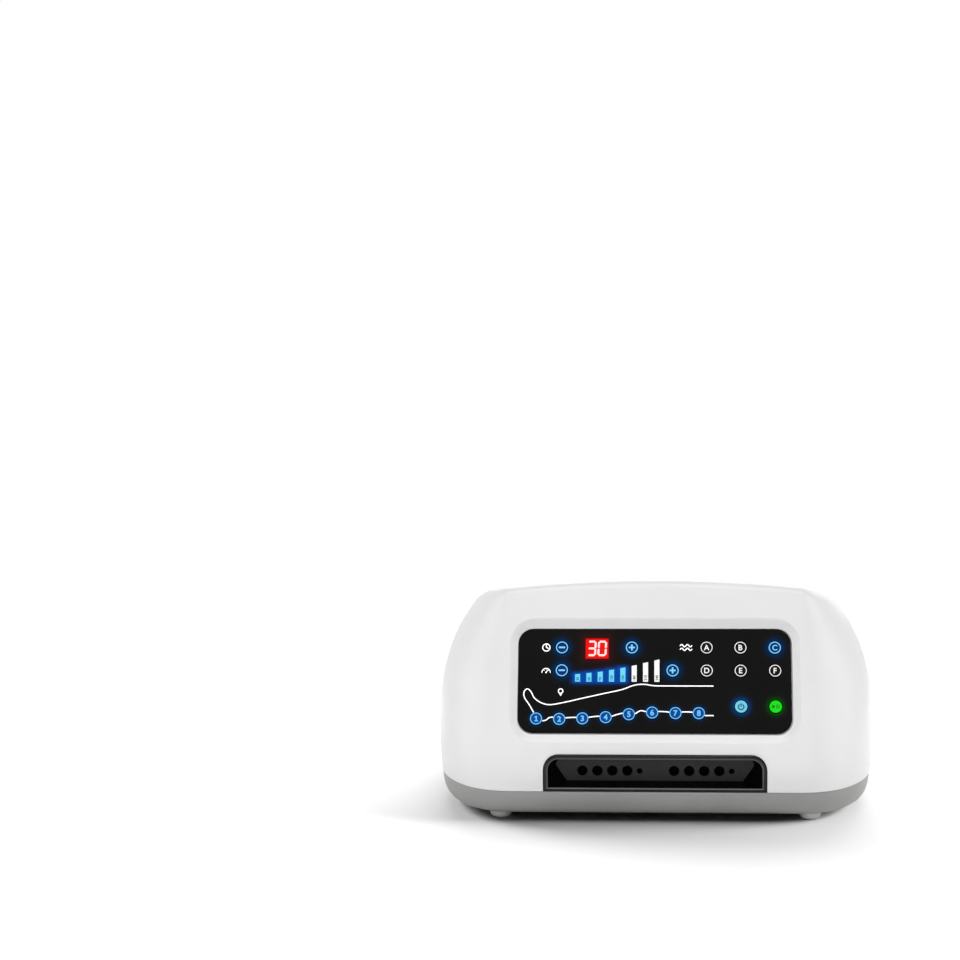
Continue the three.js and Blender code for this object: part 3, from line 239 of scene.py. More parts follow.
# Near-black painted shade for the funnel's inside and the bores of the port block, darker than the same
# plastic outside them
makeFinish("bay_painted_shade", (2, 2, 2), (4, 4, 4), (0.4, 0.5), relief=0.3, depth=0.05, specular=0.04, grain=1600)
makeFinish("block_black", (43, 44, 45), (49, 50, 51), (0.4, 0.52), relief=0.35, depth=0.05, specular=0.25,
           grain=1600)
makeFinish("key_black", (11, 11, 11), (14, 14, 14), (0.14, 0.2), relief=0.04, specular=0.05, grain=500)
makeFinish("key_blue", (0, 16, 42), (0, 20, 50), (0.14, 0.2), relief=0.04, specular=0.05, glow=(0, 40, 92))
makeFinish("key_disc_blue", (0, 14, 36), (0, 18, 42), (0.14, 0.2), relief=0.04, specular=0.05,
           glow=(0, 66, 140))
makeFinish("key_cyan", (44, 84, 94), (50, 92, 102), (0.18, 0.25), relief=0.04, specular=0.1,
           glow=(102, 194, 214))
makeFinish("key_green", (0, 62, 0), (0, 72, 0), (0.18, 0.25), relief=0.04, specular=0.08, glow=(0, 222, 0))
# The next two white prints get a painted glow on top of their colour, though no lamp lights them from behind:
# the first for the unlit keys' letters and bars, the second for the panel's drawings
makePrint("print_white_painted_glow", (236, 236, 236), (240, 240, 240), (120, 121, 121))
makePrint("print_bright_painted_glow", (240, 240, 240), (244, 244, 244), (206, 207, 207))
makePrint("print_lit", (60, 110, 135), (66, 118, 144), (112, 190, 240))
makePrint("print_blue", (40, 80, 120), (46, 88, 130), (104, 190, 240))
makePrint("bar_blue", (40, 78, 96), (46, 84, 102), (96, 204, 232))
makePrint("print_dark", (8, 30, 44), (10, 36, 52), (0, 66, 112))
makeFinish("print_grey", (54, 56, 58), (64, 66, 68), (0.4, 0.5), relief=0.03, specular=0.2)
makePrint("print_green", (0, 34, 6), (0, 42, 8), (0, 84, 0))
makeFinish("lens_red", (92, 0, 0), (104, 2, 2), (0.1, 0.15), relief=0.03, specular=0.06, glow=(226, 0, 2))
makeFinish("digit_white", (190, 170, 168), (200, 180, 178), (0.3, 0.4), relief=0.02, specular=0.2,
           glow=(200, 176, 174))
makeFinish("foot_rubber", (176, 177, 175), (188, 189, 187), (0.6, 0.75), relief=0.4, depth=0.06, specular=0.3,
           grain=2200)
makeFinish("dark_rubber", (28, 28, 28), (38, 38, 38), (0.7, 0.85), relief=0.5, depth=0.08, grain=2200)
makeFinish("steel", (176, 178, 180), (196, 198, 200), (0.29, 0.42), relief=0.25, metallic=1, grain=900,
           stretch=(1, 30, 30))
makeFinish("cast_aluminium", (168, 170, 172), (184, 186, 188), (0.42, 0.6), relief=0.6, depth=0.1, metallic=1,
           grain=1100)
makeFinish("core_iron", (62, 52, 44), (84, 74, 66), (0.45, 0.65), relief=0.8, depth=0.2, metallic=0.6,
           grain=700, stretch=(0.2, 0.2, 14))
makeFinish("board_green", (20, 82, 44), (34, 102, 58), (0.3, 0.45), relief=0.4, depth=0.1, cloud=300,
           grain=700)
makeFinish("valve_plastic", (38, 40, 43), (50, 52, 55), (0.4, 0.5), relief=0.4)
makeFinish("tube", (200, 205, 204), (216, 220, 219), (0.3, 0.4), grain=800)
makeFinish("cable_grey", (120, 124, 128), (150, 154, 158), (0.4, 0.55), relief=0.8, depth=0.3, cloud=700,
           grain=60, stretch=(40, 0.5, 0.5))
print("stage: finishes", len(finishes))


# Mesh helpers: a chunk is (points in millimetres, faces, finish index); edges over the sharp angle stay sharp
sharpAngle, shellSharpAngle = 34, 30


def buildPiece(name, chunks, finishNames=(), slot=None, body="casing"):
    points, faces, indices = [], [], []
    for chunkPoints, chunkFaces, index in chunks:
        start = len(points)
        points.extend(tuple(p) for p in np.asarray(chunkPoints, float) * mm)
        faces.extend(tuple(i + start for i in face) for face in chunkFaces)
        indices.extend([index] * len(chunkFaces))
    mesh = bpy.data.meshes.new(name)
    mesh.from_pydata(points, [], faces)
    for finishName in finishNames:
        mesh.materials.append(finishes[finishName])
    mesh.polygons.foreach_set("material_index", indices)
    work = bmesh.new()
    work.from_mesh(mesh)
    bmesh.ops.recalc_face_normals(work, faces=work.faces)
    work.to_mesh(mesh)
    work.free()
    obj = addObject(name, mesh)
    smoothPiece(obj)
    if slot:
        dress(obj, body)
    return obj


def dress(obj, body="casing"):
    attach(obj, body)


def smoothPiece(obj, angle=sharpAngle):
    obj.data.shade_smooth()
    obj.data.set_sharp_from_angle(angle=radians(angle))


def evaluatedMesh(obj):
    bpy.context.view_layer.update()
    graph = bpy.context.evaluated_depsgraph_get()
    return bpy.data.meshes.new_from_object(obj.evaluated_get(graph), depsgraph=graph)


def removePiece(obj):
    mesh = obj.data
    bpy.data.objects.remove(obj)
    bpy.data.meshes.remove(mesh)


# Cuts or joins in turn; each step is (operation, tool chunks)
def carve(obj, steps, angle=shellSharpAngle, solver="MANIFOLD"):
    tools = []
    for i, (operation, chunks) in enumerate(steps):
        tool = buildPiece(f"tool_{i}", chunks)
        modifier = obj.modifiers.new(f"step_{i}", "BOOLEAN")
        modifier.operation = operation
        modifier.solver = solver
        modifier.object = tool
        tools.append(tool)
    carved = evaluatedMesh(obj)
    obj.modifiers.clear()
    plain = obj.data
    carved.name = plain.name
    obj.data = carved
    bpy.data.meshes.remove(plain)
    for tool in tools:
        removePiece(tool)
    smoothPiece(obj, angle)
    return obj


# The mesh of a helper piece as a chunk; the helper goes
def takenChunk(obj):
    chunk = ([tuple(v.co / mm) for v in obj.data.vertices], [tuple(p.vertices) for p in obj.data.polygons], 0)
    removePiece(obj)
    return chunk


# Joins rings of points by faces, and closes the ends, or the last ring to the first
def loft(rings, cyclic=False, index=0):
    rings = np.asarray(rings, float)
    rows, count = rings.shape[:2]
    step = np.arange(count)
    after = (step + 1) % count
    faces = []
    for row in range(rows if cyclic else rows - 1):
        a = row * count
        b = (row + 1) % rows * count
        faces.extend(zip((a + step).tolist(), (a + after).tolist(), (b + after).tolist(),
                         (b + step).tolist()))
    if not cyclic:
        faces.append(tuple(step[::-1].tolist()))
        faces.append(tuple(((rows - 1) * count + step).tolist()))
    return rings.reshape(-1, 3), faces, index


def atHeight(outline, z):
    return np.column_stack([outline, np.full(len(outline), float(z))])


def circle(radius, sides, middle):
    angles = np.arange(sides) * 2 * pi / sides
    return np.column_stack([middle[0] + radius * np.cos(angles), middle[1] + radius * np.sin(angles)])


# A turned form about Z from (radius, height) pairs
def lathe(profile, sides, place=(0, 0), index=0):
    return loft([atHeight(circle(r, sides, place), h) for r, h in profile], index=index)


# An outline in X and Y drawn up along Z
def prism(outline, low, high, index=0):
    return loft([atHeight(np.asarray(outline, float), z) for z in (low, high)], index=index)


def block(low, high):
    return prism([(low[0], low[1]), (high[0], low[1]), (high[0], high[1]), (low[0], high[1])], low[2],
                 high[2])


# Steps are those of a corner's arc; sideSteps those of a side
def roundedRect(width, height, radius, steps, middle, sideSteps=1):
    arcs = []
    for sideX, sideY, start in ((1, -1, -90), (1, 1, 0), (-1, 1, 90), (-1, -1, 180)):
        angles = [radians(start + 90 * i / steps) for i in range(steps + 1)]
        arcs.append([(middle[0] + sideX * (width / 2 - radius) + radius * cos(angle),
                      middle[1] + sideY * (height / 2 - radius) + radius * sin(angle)) for angle in angles])
    points = []
    for arc, following in zip(arcs, arcs[1:] + arcs[:1]):
        (x, y), (nextX, nextY) = arc[-1], following[0]
        points += arc
        points += [(x + (nextX - x) * k / sideSteps, y + (nextY - y) * k / sideSteps)
                   for k in range(1, sideSteps)]
    return points


# The casing's surface, from the same sizes as the solids, in millimetres and degrees
casing = dict(halfWidth=140.46, halfDepth=100, ridgeHalf=95, ridge=143.09, widest=57, seam=20, crease=33,
              soft=10, crown=5, ridgeCorner=3, cornerDepth=70, depthShares=(0.4, 0.6), lossShares=(0.8, 0.2),
              power=1.95, rear=40, taper=14, edge=5.5, wall=3, gap=0.3, step=0.4, underside=5,
              undersideInset=6, seamLoss=2.5, tilt=24, fall=10.4, lean=2.3)
# Rounds of the sums that close in on a height, and of the easing, with its reach in points
rounds = dict(height=14, lift=4, ease=24)
easeReach, easeShare = 6, 0.5
faceTilt = radians(casing["tilt"])
topFall = tan(radians(casing["fall"]))
backLean = tan(radians(casing["lean"]))


def softOffset(d):
    return tan(faceTilt) * (d + np.hypot(d, casing["soft"])) / 2


faceBase = -casing["halfDepth"] - softOffset(casing["seam"] - casing["crease"])


def frontAt(z):
    return faceBase + softOffset(z - casing["crease"])


def backAt(z):
    return casing["halfDepth"] - backLean * (z - casing["seam"])


def halfWidthAt(z):
    above = np.maximum(0, z - casing["widest"]) / (casing["ridge"] - casing["widest"])
    below = np.maximum(0, casing["widest"] - z) / (casing["widest"] - casing["seam"])
    square, fourth = casing["lossShares"]
    loss = (casing["halfWidth"] - casing["ridgeHalf"]) * (square * above ** 2 + fourth * above ** 4)
    return casing["halfWidth"] - loss - casing["seamLoss"] * below ** 2


def topAt(x, y):
    crowned = casing["ridge"] - casing["crown"] * (x / casing["ridgeHalf"]) ** 2
    return crowned - topFall * (y - frontAt(casing["ridge"]))


# Half of the outline in zones (front, corner, side, rear corner, back), each in so many steps, and its mirror
def outlineSteps(counts):
    half = [(zone, i / count) for zone, count in enumerate(counts) for i in range(count)]
    full = [(zone, share, 1) for zone, share in half] + [(4, 1.0, 1)]
    full += [(zone, share, -1) for zone, share in half[:0:-1]]
    return tuple(np.array(column, float) for column in zip(*full))


def outlineAt(steps, z, inset):
    zone, share, side = steps
    half = halfWidthAt(z) - inset
    front = frontAt(z) + inset
    back = backAt(z) - inset
    flat = np.minimum(casing["ridgeHalf"] - casing["ridgeCorner"], half - casing["ridgeCorner"] / 2)
    corner = half - flat
    fullCorner = casing["halfWidth"] - casing["ridgeHalf"] + casing["ridgeCorner"]
    steady, grown = casing["depthShares"]
    depth = casing["cornerDepth"] * (steady + grown * corner / fullCorner)
    rear = np.minimum(casing["rear"], half)
    angle = share * pi / 2
    power = 2 / casing["power"]
    sine, cosine = np.maximum(np.sin(angle), 0), np.maximum(np.cos(angle), 0)
    zones = [zone == i for i in range(4)]
    x = np.select(zones, [flat * share, flat + corner * sine ** power, half, half - rear * (1 - cosine)],
                  (half - rear) * (1 - share))
    y = np.select(zones, [front + 0 * share, front + depth * (1 - cosine ** power),
                          (front + depth) * (1 - share) + (back - rear) * share, back - rear * (1 - sine)],
                  back)
    along = np.maximum(0, (y - front - depth) / (back - front - depth))
    return side * x * (1 - casing["taper"] / casing["halfWidth"] * along ** 2), y


# Eases the places where a ring's curvature starts, so that no line shows there
def easedRings(steps, rings):
    rings = np.array(rings, float)
    zone, share, _ = steps
    order = np.arange(len(zone))
    weight = np.zeros(len(zone))
    for start in order[(share == 0) & (zone > 0)]:
        apart = np.abs(order - start)
        weight = np.maximum(weight, np.exp(-(np.minimum(apart, len(zone) - apart) / easeReach) ** 2))
    for _ in range(rounds["ease"]):
        mean = (np.roll(rings, 1, axis=1) + np.roll(rings, -1, axis=1)) / 2
        rings[:, :, :2] += (weight[None, :, None] * easeShare * (mean - rings))[:, :, :2]
    return rings


# The ring on the top, that far inside the outline and that far below the surface
def settled(steps, inset, drop):
    z = np.full(len(steps[0]), float(casing["ridge"]))
    for _ in range(rounds["height"]):
        z = topAt(*outlineAt(steps, z, inset)) - drop
    return np.column_stack([*outlineAt(steps, z, inset), z])


def casingRings(counts, inset, low, wallRows, edgeRows, crownShares):
    steps = outlineSteps(counts)
    radius = casing["edge"] - inset / 2
    tops = settled(steps, inset, radius + inset)[:, 2]
    rings = []
    for share in np.linspace(0, 1, wallRows):
        z = low + share * (tops - low)
        rings.append(np.column_stack([*outlineAt(steps, z, inset), z]))
    for angle in np.radians(np.linspace(0, 90, edgeRows + 1)[1:]):
        rings.append(settled(steps, inset + radius * (1 - cos(angle)), inset + radius * (1 - sin(angle))))
    rim = rings[-1]
    middle = (backAt(casing["ridge"]) + frontAt(casing["ridge"])) / 2
    for share in crownShares:
        x, y = rim[:, 0] * share, middle + (rim[:, 1] - middle) * share
        rings.append(np.column_stack([x, y, topAt(x, y) - inset]))
    return easedRings(steps, rings)


# Points on the sloped face: u across, v up the slope from the crease, w out of the face
def onFace(points):
    u, v, w = np.asarray(points, float).T
    return np.column_stack([u, faceBase + v * sin(faceTilt) - w * cos(faceTilt),
                            casing["crease"] + v * cos(faceTilt) + w * sin(faceTilt)])


def facePiece(name, chunks, finishNames, slot, body="casing"):
    return buildPiece(name, [(onFace(points), faces, index) for points, faces, index in chunks], finishNames,
                      slot, body)


# How far the casing lies above the flat of the face frame, at a height up the slope
def faceLift(v):
    w = np.zeros_like(v)
    for _ in range(rounds["lift"]):
        z = casing["crease"] + v * cos(faceTilt) + w * sin(faceTilt)
        w = (faceBase + v * sin(faceTilt) - frontAt(z)) / cos(faceTilt)
    return w


panel = dict(width=170, height=66.4, radius=9.5, rise=57.2, depth=3.9, thickness=2, side=5.3, top=6.3,
             pocketRadius=16, arcSteps=16, sideSteps=12, leastShare=-0.4)
bay = dict(half=68.5, top=42, radius=9, rim=2.7, floor=22.4, low=20.3, backTopHalf=61.5, backBottomHalf=54.7,
           backTop=38.5, backY=-83.4, wall=2.2, floorSteps=24, steps=10)
service = dict(height=46, y=96.456, low=10.5, high=99, half=16, radius=2.5, inletX=72, inlet=(27.6, 20.6),
               rockerX=26, rocker=(20, 13.6), fitRadius=0.5, through=84, outside=112, arcSteps=8, sideSteps=6,
               edge=0.5)
vents = dict(count=11, row=126, width=3, length=26, radius=1.43, height=92)
screwPlaces = [(-104, -42), (-104, 60), (104, -42), (104, 60)]
feet = dict(x=96, front=-85, rear=79)
# How far a cutter's rim stands proud of the surface
proud = 0.02


# Points in X and Z round the bay, from the lower left corner
def bayOutline(bottomHalf, topHalf, low, high, radius, grow=0):
    bottomHalf, topHalf, high, radius = (size + grow for size in (bottomHalf, topHalf, high, radius))
    low -= grow
    across, up = bay["floorSteps"], bay["steps"]
    points = [(-bottomHalf + 2 * bottomHalf * i / across, low) for i in range(across)]
    rise = high - radius
    points += [(bottomHalf + (topHalf - bottomHalf) * i / up, low + (rise - low) * i / up) for i in range(up)]
    arcs = [[(side * (topHalf - radius + radius * cos(a)), high - radius + radius * sin(a))
             for a in np.linspace(0, pi / 2, up + 1)] for side in (1, -1)]
    points += arcs[0] + [((topHalf - radius) * (1 - 2 * i / across), high) for i in range(1, across)]
    points += arcs[1][::-1]
    points += [(-topHalf + (topHalf - bottomHalf) * i / up, rise + (low - rise) * i / up)
               for i in range(1, up)]
    return np.array(points)


# An outline in X and Z as a ring at a Y, which may be a function of the height
def bayRing(outline, y):
    depth = y(outline[:, 1]) if callable(y) else np.full(len(outline), float(y))
    return np.column_stack([outline[:, 0], depth, outline[:, 1]])


def behindFront(gap):
    return lambda z: frontAt(z) + gap


# The dish, the panel's seat and the opening behind it, as one cutter: share of the way from the panel's edge
# to the dish's, height over the face, and how far it follows the casing's curve
def pocketTool():
    profile = [(-0.57, -30, 0), (-0.57, -6.2, 0), (0.057, -6.2, 0), (0.057, -4.15, 0), (0.085, -3.97, 0),
               (0.13, -3.86, 0.1), (0.2, -3.58, 0.2), (0.5, -2.12, 0.5), (0.8, -0.66, 0.8), (0.91, -0.2, 1),
               (0.95, -0.07, 1), (1.0, -0.01, 1), (1.06, 0.02, 1), (1.1, 6, 1)]
    rings = []
    for share, w, follow in profile:
        radius = panel["radius"] + (panel["pocketRadius"] - panel["radius"]) * max(share, panel["leastShare"])
        outline = np.array(roundedRect(panel["width"] + 2 * panel["side"] * share,
                                       panel["height"] + 2 * panel["top"] * share, radius, panel["arcSteps"],
                                       (0, panel["rise"]), panel["sideSteps"]))
        rings.append(onFace(np.column_stack([outline, w + follow * faceLift(outline[:, 1])])))
    return [loft(rings)]


# The notch for the bay: growth of its outline and the way back, from outside in
def bayTool():
    low, outside, inside, half = 10, -140, -80, bay["half"]
    profile = ((0.6, outside), (0.6, behindFront(-proud)), (0.35, behindFront(0.12)), (0.3, behindFront(0.5)),
               (0.3, inside))
    return [loft([bayRing(bayOutline(half, half, low + grow, bay["top"], bay["radius"], grow), y)
                  for grow, y in profile])]


# A cutter into the back: a rounded outline that flares a little at the surface
def backTool(middle, width, height, radius, depth, edge=0):
    easing = edge * 0.3
    profile = ((0, depth), (0, lambda z: backAt(z) - edge), (easing, lambda z: backAt(z) - easing),
               (edge, lambda z: backAt(z) + proud), (edge, service["outside"]))
    return loft([bayRing(np.array(roundedRect(width + 2 * grow, height + 2 * grow, radius + grow,
                                              service["arcSteps"], middle, service["sideSteps"])), y)
                 for grow, y in profile])


# Outline steps and rows of the two skins, and how the inner one gives way behind the panel's seat
upperSizes = dict(outer=(76, 34, 16, 24, 76), outerRows=(92, 9), inner=(38, 14, 8, 12, 40), innerLow=14,
                  innerCrown=(0.8, 0.5, 0.2),
                  outerCrown=(0.97, 0.92, 0.84, 0.74, 0.62, 0.5, 0.38, 0.26, 0.14, 0.05), giveWay=5.6,
                  giveFrom=7, giveOver=4, margin=6, rearFrom=50, column=[(4.6, 34.3), (5, 34.7), (5, 150)],
                  columnSides=32, columnInset=1.5, pilot=[(2, 30), (2, 46)], pilotSides=24)


def upperShell():
    sizes = upperSizes
    outer = casingRings(sizes["outer"], 0, casing["seam"], *sizes["outerRows"], sizes["outerCrown"])
    inner = casingRings(sizes["inner"], casing["wall"], sizes["innerLow"], 46, 3, sizes["innerCrown"])
    flat = inner.reshape(-1, 3)
    v = (flat[:, 1] - faceBase) * sin(faceTilt) + (flat[:, 2] - casing["crease"]) * cos(faceTilt)
    beyond = np.maximum(np.abs(flat[:, 0]) - panel["width"] / 2 - panel["side"],
                        np.abs(v - panel["rise"]) - panel["height"] / 2 - panel["top"])
    behind = np.clip((sizes["giveFrom"] - beyond) / sizes["giveOver"], 0, 1) * (flat[:, 1] < 0)
    flat[:, 1] += sizes["giveWay"] * behind * cos(faceTilt)
    flat[:, 2] -= sizes["giveWay"] * behind * sin(faceTilt)
    margin = sizes["margin"]
    inRecess = ((flat[:, 0] > service["low"] - margin) & (flat[:, 0] < service["high"] + margin)
                & (np.abs(flat[:, 2] - service["height"]) < service["half"] + margin)
                & (flat[:, 1] > sizes["rearFrom"]))
    flat[inRecess, 1] = np.minimum(flat[inRecess, 1], service["y"] - casing["wall"])
    shell = buildPiece("upper_shell_form", [loft(outer)], ["white_shell"])
    middle = ((service["low"] + service["high"]) / 2, service["height"])
    recess = backTool(middle, service["high"] - service["low"], 2 * service["half"], service["radius"],
                      service["y"], service["edge"])
    slots = [backTool(((i / (vents["count"] - 1) - 0.5) * vents["row"], vents["height"]), vents["width"],
                      vents["length"], vents["radius"], service["through"], service["edge"])
             for i in range(vents["count"])]
    fittings = [backTool((service[f"{fitting}X"], service["height"]), *service[fitting], service["fitRadius"],
                         service["through"]) for fitting in ("inlet", "rocker")]
    cutters = [[loft(flat.reshape(inner.shape))], pocketTool(), bayTool(), [recess], slots, fittings]
    carve(shell, [("DIFFERENCE", chunks) for chunks in cutters])
    columns = buildPiece("columns",
                         [lathe(sizes["column"], sizes["columnSides"], place) for place in screwPlaces],
                         ["white_shell"])
    skin = casingRings(sizes["inner"], sizes["columnInset"], sizes["innerLow"], 30, 3, sizes["innerCrown"])
    carve(columns, [("INTERSECT", [loft(skin)])])
    pilots = [lathe(sizes["pilot"], sizes["pilotSides"], place) for place in screwPlaces]
    return carve(shell, [("UNION", [takenChunk(columns)]), ("DIFFERENCE", pilots)])


# The tray and what stands in it: places, and profiles in heights over the ground or the underside
lowerSizes = dict(steps=(60, 34, 16, 24, 60), flat=1.5, lip=((0.35, 0), (0.1, 0.1), (0, 0.35)), outerRows=18,
                  innerRows=8, innerRim=30, root=1.5, ease=0.3, ledge=(1.5, 4.8, -5, 0),
                  tongue=(3.3, 4.8, -2.5, 4), bayWay=(68.8, -130, 8), column=(6.2, 34, 0.5),
                  mountPost=(5.5, 3, 0.3), boardPost=(3.2, 6, 0.3), mountPosts=((-85, -39), (7, 41)),
                  boardPosts=((10, 90), (-35, 7)), bracket=(29.5, 3, -70.5, -48.8, 20.3),
                  rails=((32.99, 90.99), 2.5, 31, 53, 3), well=[(4.9, -2), (4.9, 0), (4.2, 0.7), (4.2, 16)],
                  pilot=[(2, 14), (2, 35)], stud=(2.3, 2, 3), vent=(3, 30, 1.2, 5), ventMiddle=(-62, 24),
                  ventPitch=6, vents=7)


# A round post with an eased end, from its root to its height over the ground
def postChunk(radius, root, top, ease, sides, place):
    return lathe([(radius, root), (radius, top - ease), (radius - ease, top)], sides, place)


def lowerShell():
    sizes = lowerSizes
    steps = outlineSteps(sizes["steps"])
    seamRow = np.full(len(steps[0]), float(casing["seam"]))
    rim = casing["seam"] - casing["gap"]
    bottom = casing["underside"]
    ground = bottom + casing["wall"]
    root = ground - sizes["root"]

    def outline(inset, z):
        return atHeight(np.column_stack(outlineAt(steps, seamRow, inset)), z)

    def tray(inset, top, base, rows, lip):
        low = rim - sizes["flat"]
        rings = [outline(casing["step"] + inset + grow, top - z) for grow, z in lip]
        for angle in np.radians(np.linspace(0, 90, rows)):
            run = casing["step"] + inset + casing["undersideInset"] * (1 - cos(angle))
            rings.append(outline(run, low - (low - base) * sin(angle)))
        return loft(easedRings(steps, rings))

    def band(outer, inner, low, high):
        low, high, ease = rim + low, rim + high, sizes["ease"]
        walls = [(inner, low), (outer, low), (outer, high - ease), (outer + ease, high), (inner, high)]
        return loft(easedRings(steps, [outline(inset, z) for inset, z in walls]), cyclic=True)

    radius, top, ease = sizes["column"]
    columns = [postChunk(radius, root, top, ease, 40, place) for place in screwPlaces]
    posts = []
    for kind, sides in (("mountPost", 32), ("boardPost", 28)):
        radius, height, ease = sizes[kind]
        xs, ys = sizes[f"{kind}s"]
        posts += [postChunk(radius, root, ground + height, ease, sides, (x, y)) for x in xs for y in ys]
    away, half, front, back, top = sizes["bracket"]
    posts += [block((x - half, front, root), (x + half, back, top)) for x in (-away, away)]
    railPlaces, half, front, back, height = sizes["rails"]
    posts += [block((x - half, front, root), (x + half, back, ground + height)) for x in railPlaces]
    half, front, height = sizes["bayWay"]
    bayWay = block((-half, front, rim), (half, bay["backY"], rim + height))
    wells, pilots = ([lathe([(radius, bottom + z) for radius, z in sizes[kind]], sides, place)
                      for place in screwPlaces] for kind, sides in (("well", 40), ("pilot", 24)))
    radius, below, above = sizes["stud"]
    studs = [lathe([(radius, bottom - below), (radius, ground + above)], 24, (side * feet["x"], feet[end]))
             for side in (-1, 1) for end in ("front", "rear")]
    x, y = sizes["ventMiddle"]
    slots = [prism(roundedRect(*sizes["vent"], (x + (i - sizes["vents"] // 2) * sizes["ventPitch"], y)),
                   bottom - casing["wall"], ground + casing["wall"]) for i in range(sizes["vents"])]
    shell = buildPiece("lower_shell_form", [tray(0, rim, bottom, sizes["outerRows"], sizes["lip"])],
                       ["grey_shell"])
    hollow = tray(casing["wall"], sizes["innerRim"], ground, sizes["innerRows"], ((0, 0),))
    return carve(shell, [("DIFFERENCE", [hollow]), ("UNION", [band(*sizes["ledge"])]),
                         ("UNION", [band(*sizes["tongue"])]), ("DIFFERENCE", [bayWay]), ("UNION", columns),
                         ("UNION", posts), ("DIFFERENCE", wells), ("DIFFERENCE", pilots),
                         ("DIFFERENCE", studs + slots)])


upper = upperShell()
dress(upper)
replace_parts(upper, "upper_shell")
lower = lowerShell()
dress(lower)
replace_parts(lower, "lower_shell")
print("stage: shells", len(upper.data.polygons), len(lower.data.polygons))

# The funnel's rim: how far each ring draws in and lies behind the front, then shares of the way back
bayRims = dict(root=-97.8, outer=((0, 0.5), (0.12, 0.15), (0.45, 0)), inner=((0.75, 0), (0.25, 0.2)),
               throat=0.6, shares=(0.25, 0.5, 0.75, 1))
backHalves = bay["backBottomHalf"] + bay["wall"], bay["backTopHalf"] + bay["wall"]
backHigh = bay["backTop"] + bay["wall"]
# Rows of faces of each finish, from the back of the funnel round its outside, rim and inside; the inside's
# finish is painted shade, and the rim's inner edge a painted highlight
bayFinishes = ["bay_rim", "bay_painted_shade", "bay_edge_painted_highlight"]
bayRows = ((0, 5), (2, 2), (1, 5))


def portBay():
    half, innerHalf = bay["half"], bay["half"] - bay["rim"]
    innerRadius, innerTop = bay["radius"] - bay["rim"], bay["top"] - bay["rim"]

    def outer(grow):
        return bayOutline(half, half, bay["low"], bay["top"], bay["radius"], -grow)

    def inner(grow):
        return bayOutline(innerHalf, innerHalf, bay["floor"], innerTop, innerRadius, grow)

    def wayBack(share):
        return lambda z: (frontAt(z) + bayRims["throat"]) * (1 - share) + bay["backY"] * share

    backOuter = bayOutline(*backHalves, bay["low"], backHigh, innerRadius + bay["wall"] / 2)
    backInner = bayOutline(bay["backBottomHalf"], bay["backTopHalf"], bay["floor"], bay["backTop"],
                           innerRadius)
    rings = [bayRing(backOuter, bay["backY"]), bayRing(outer(0), bayRims["root"])]
    for side, name in ((outer, "outer"), (inner, "inner")):
        rings += [bayRing(side(grow), behindFront(gap)) for grow, gap in bayRims[name]]
    rings.append(bayRing(inner(0), behindFront(bayRims["throat"])))
    rings += [bayRing(inner(0) * (1 - share) + backInner * share, wayBack(share))
              for share in bayRims["shares"]]
    piece = buildPiece("port_bay_form", [loft(rings, cyclic=True)], bayFinishes, "bay_black")
    rows = [row for row, times in bayRows for _ in range(times * len(backInner))]
    piece.data.polygons.foreach_set("material_index", rows)
    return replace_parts(piece, "port_bay")


sockets = dict(z=28.6, diameter=6.2, pitch=9.35, startShares=(-0.657, 0.176), count=4, depth=10, pin=3.3,
               pinOffset=7.6, pinDepth=7, front=-83.1, plate=3, back=-71.1, radius=7.4, edge=0.3, lip=0.35,
               pinLip=0.25)
blockSizes = dict(before=6, after=3, behindFace=1.5, low=22.8, high=34.4, airRadius=1.2, airFrom=5,
                  airLength=30, nipple=[(2, -3), (2, 5.4), (1.6, 6)])
alongY = np.array(Matrix.Rotation(-pi / 2, 3, "X"))


# A turned form along Y, from (radius, depth) pairs
def latheAlongY(profile, sides, place):
    points, faces, index = lathe(profile, sides)
    return points @ alongY.T + np.array(place, float), faces, index


# A blind hole with a small chamfer, bored along Y from the block's front
def boreTool(x, radius, depth, lip):
    profile = [(radius + lip, -2), (radius + lip, 0), (radius, lip), (radius, depth)]
    return latheAlongY(profile, 48, (x, sockets["front"], sockets["z"]))


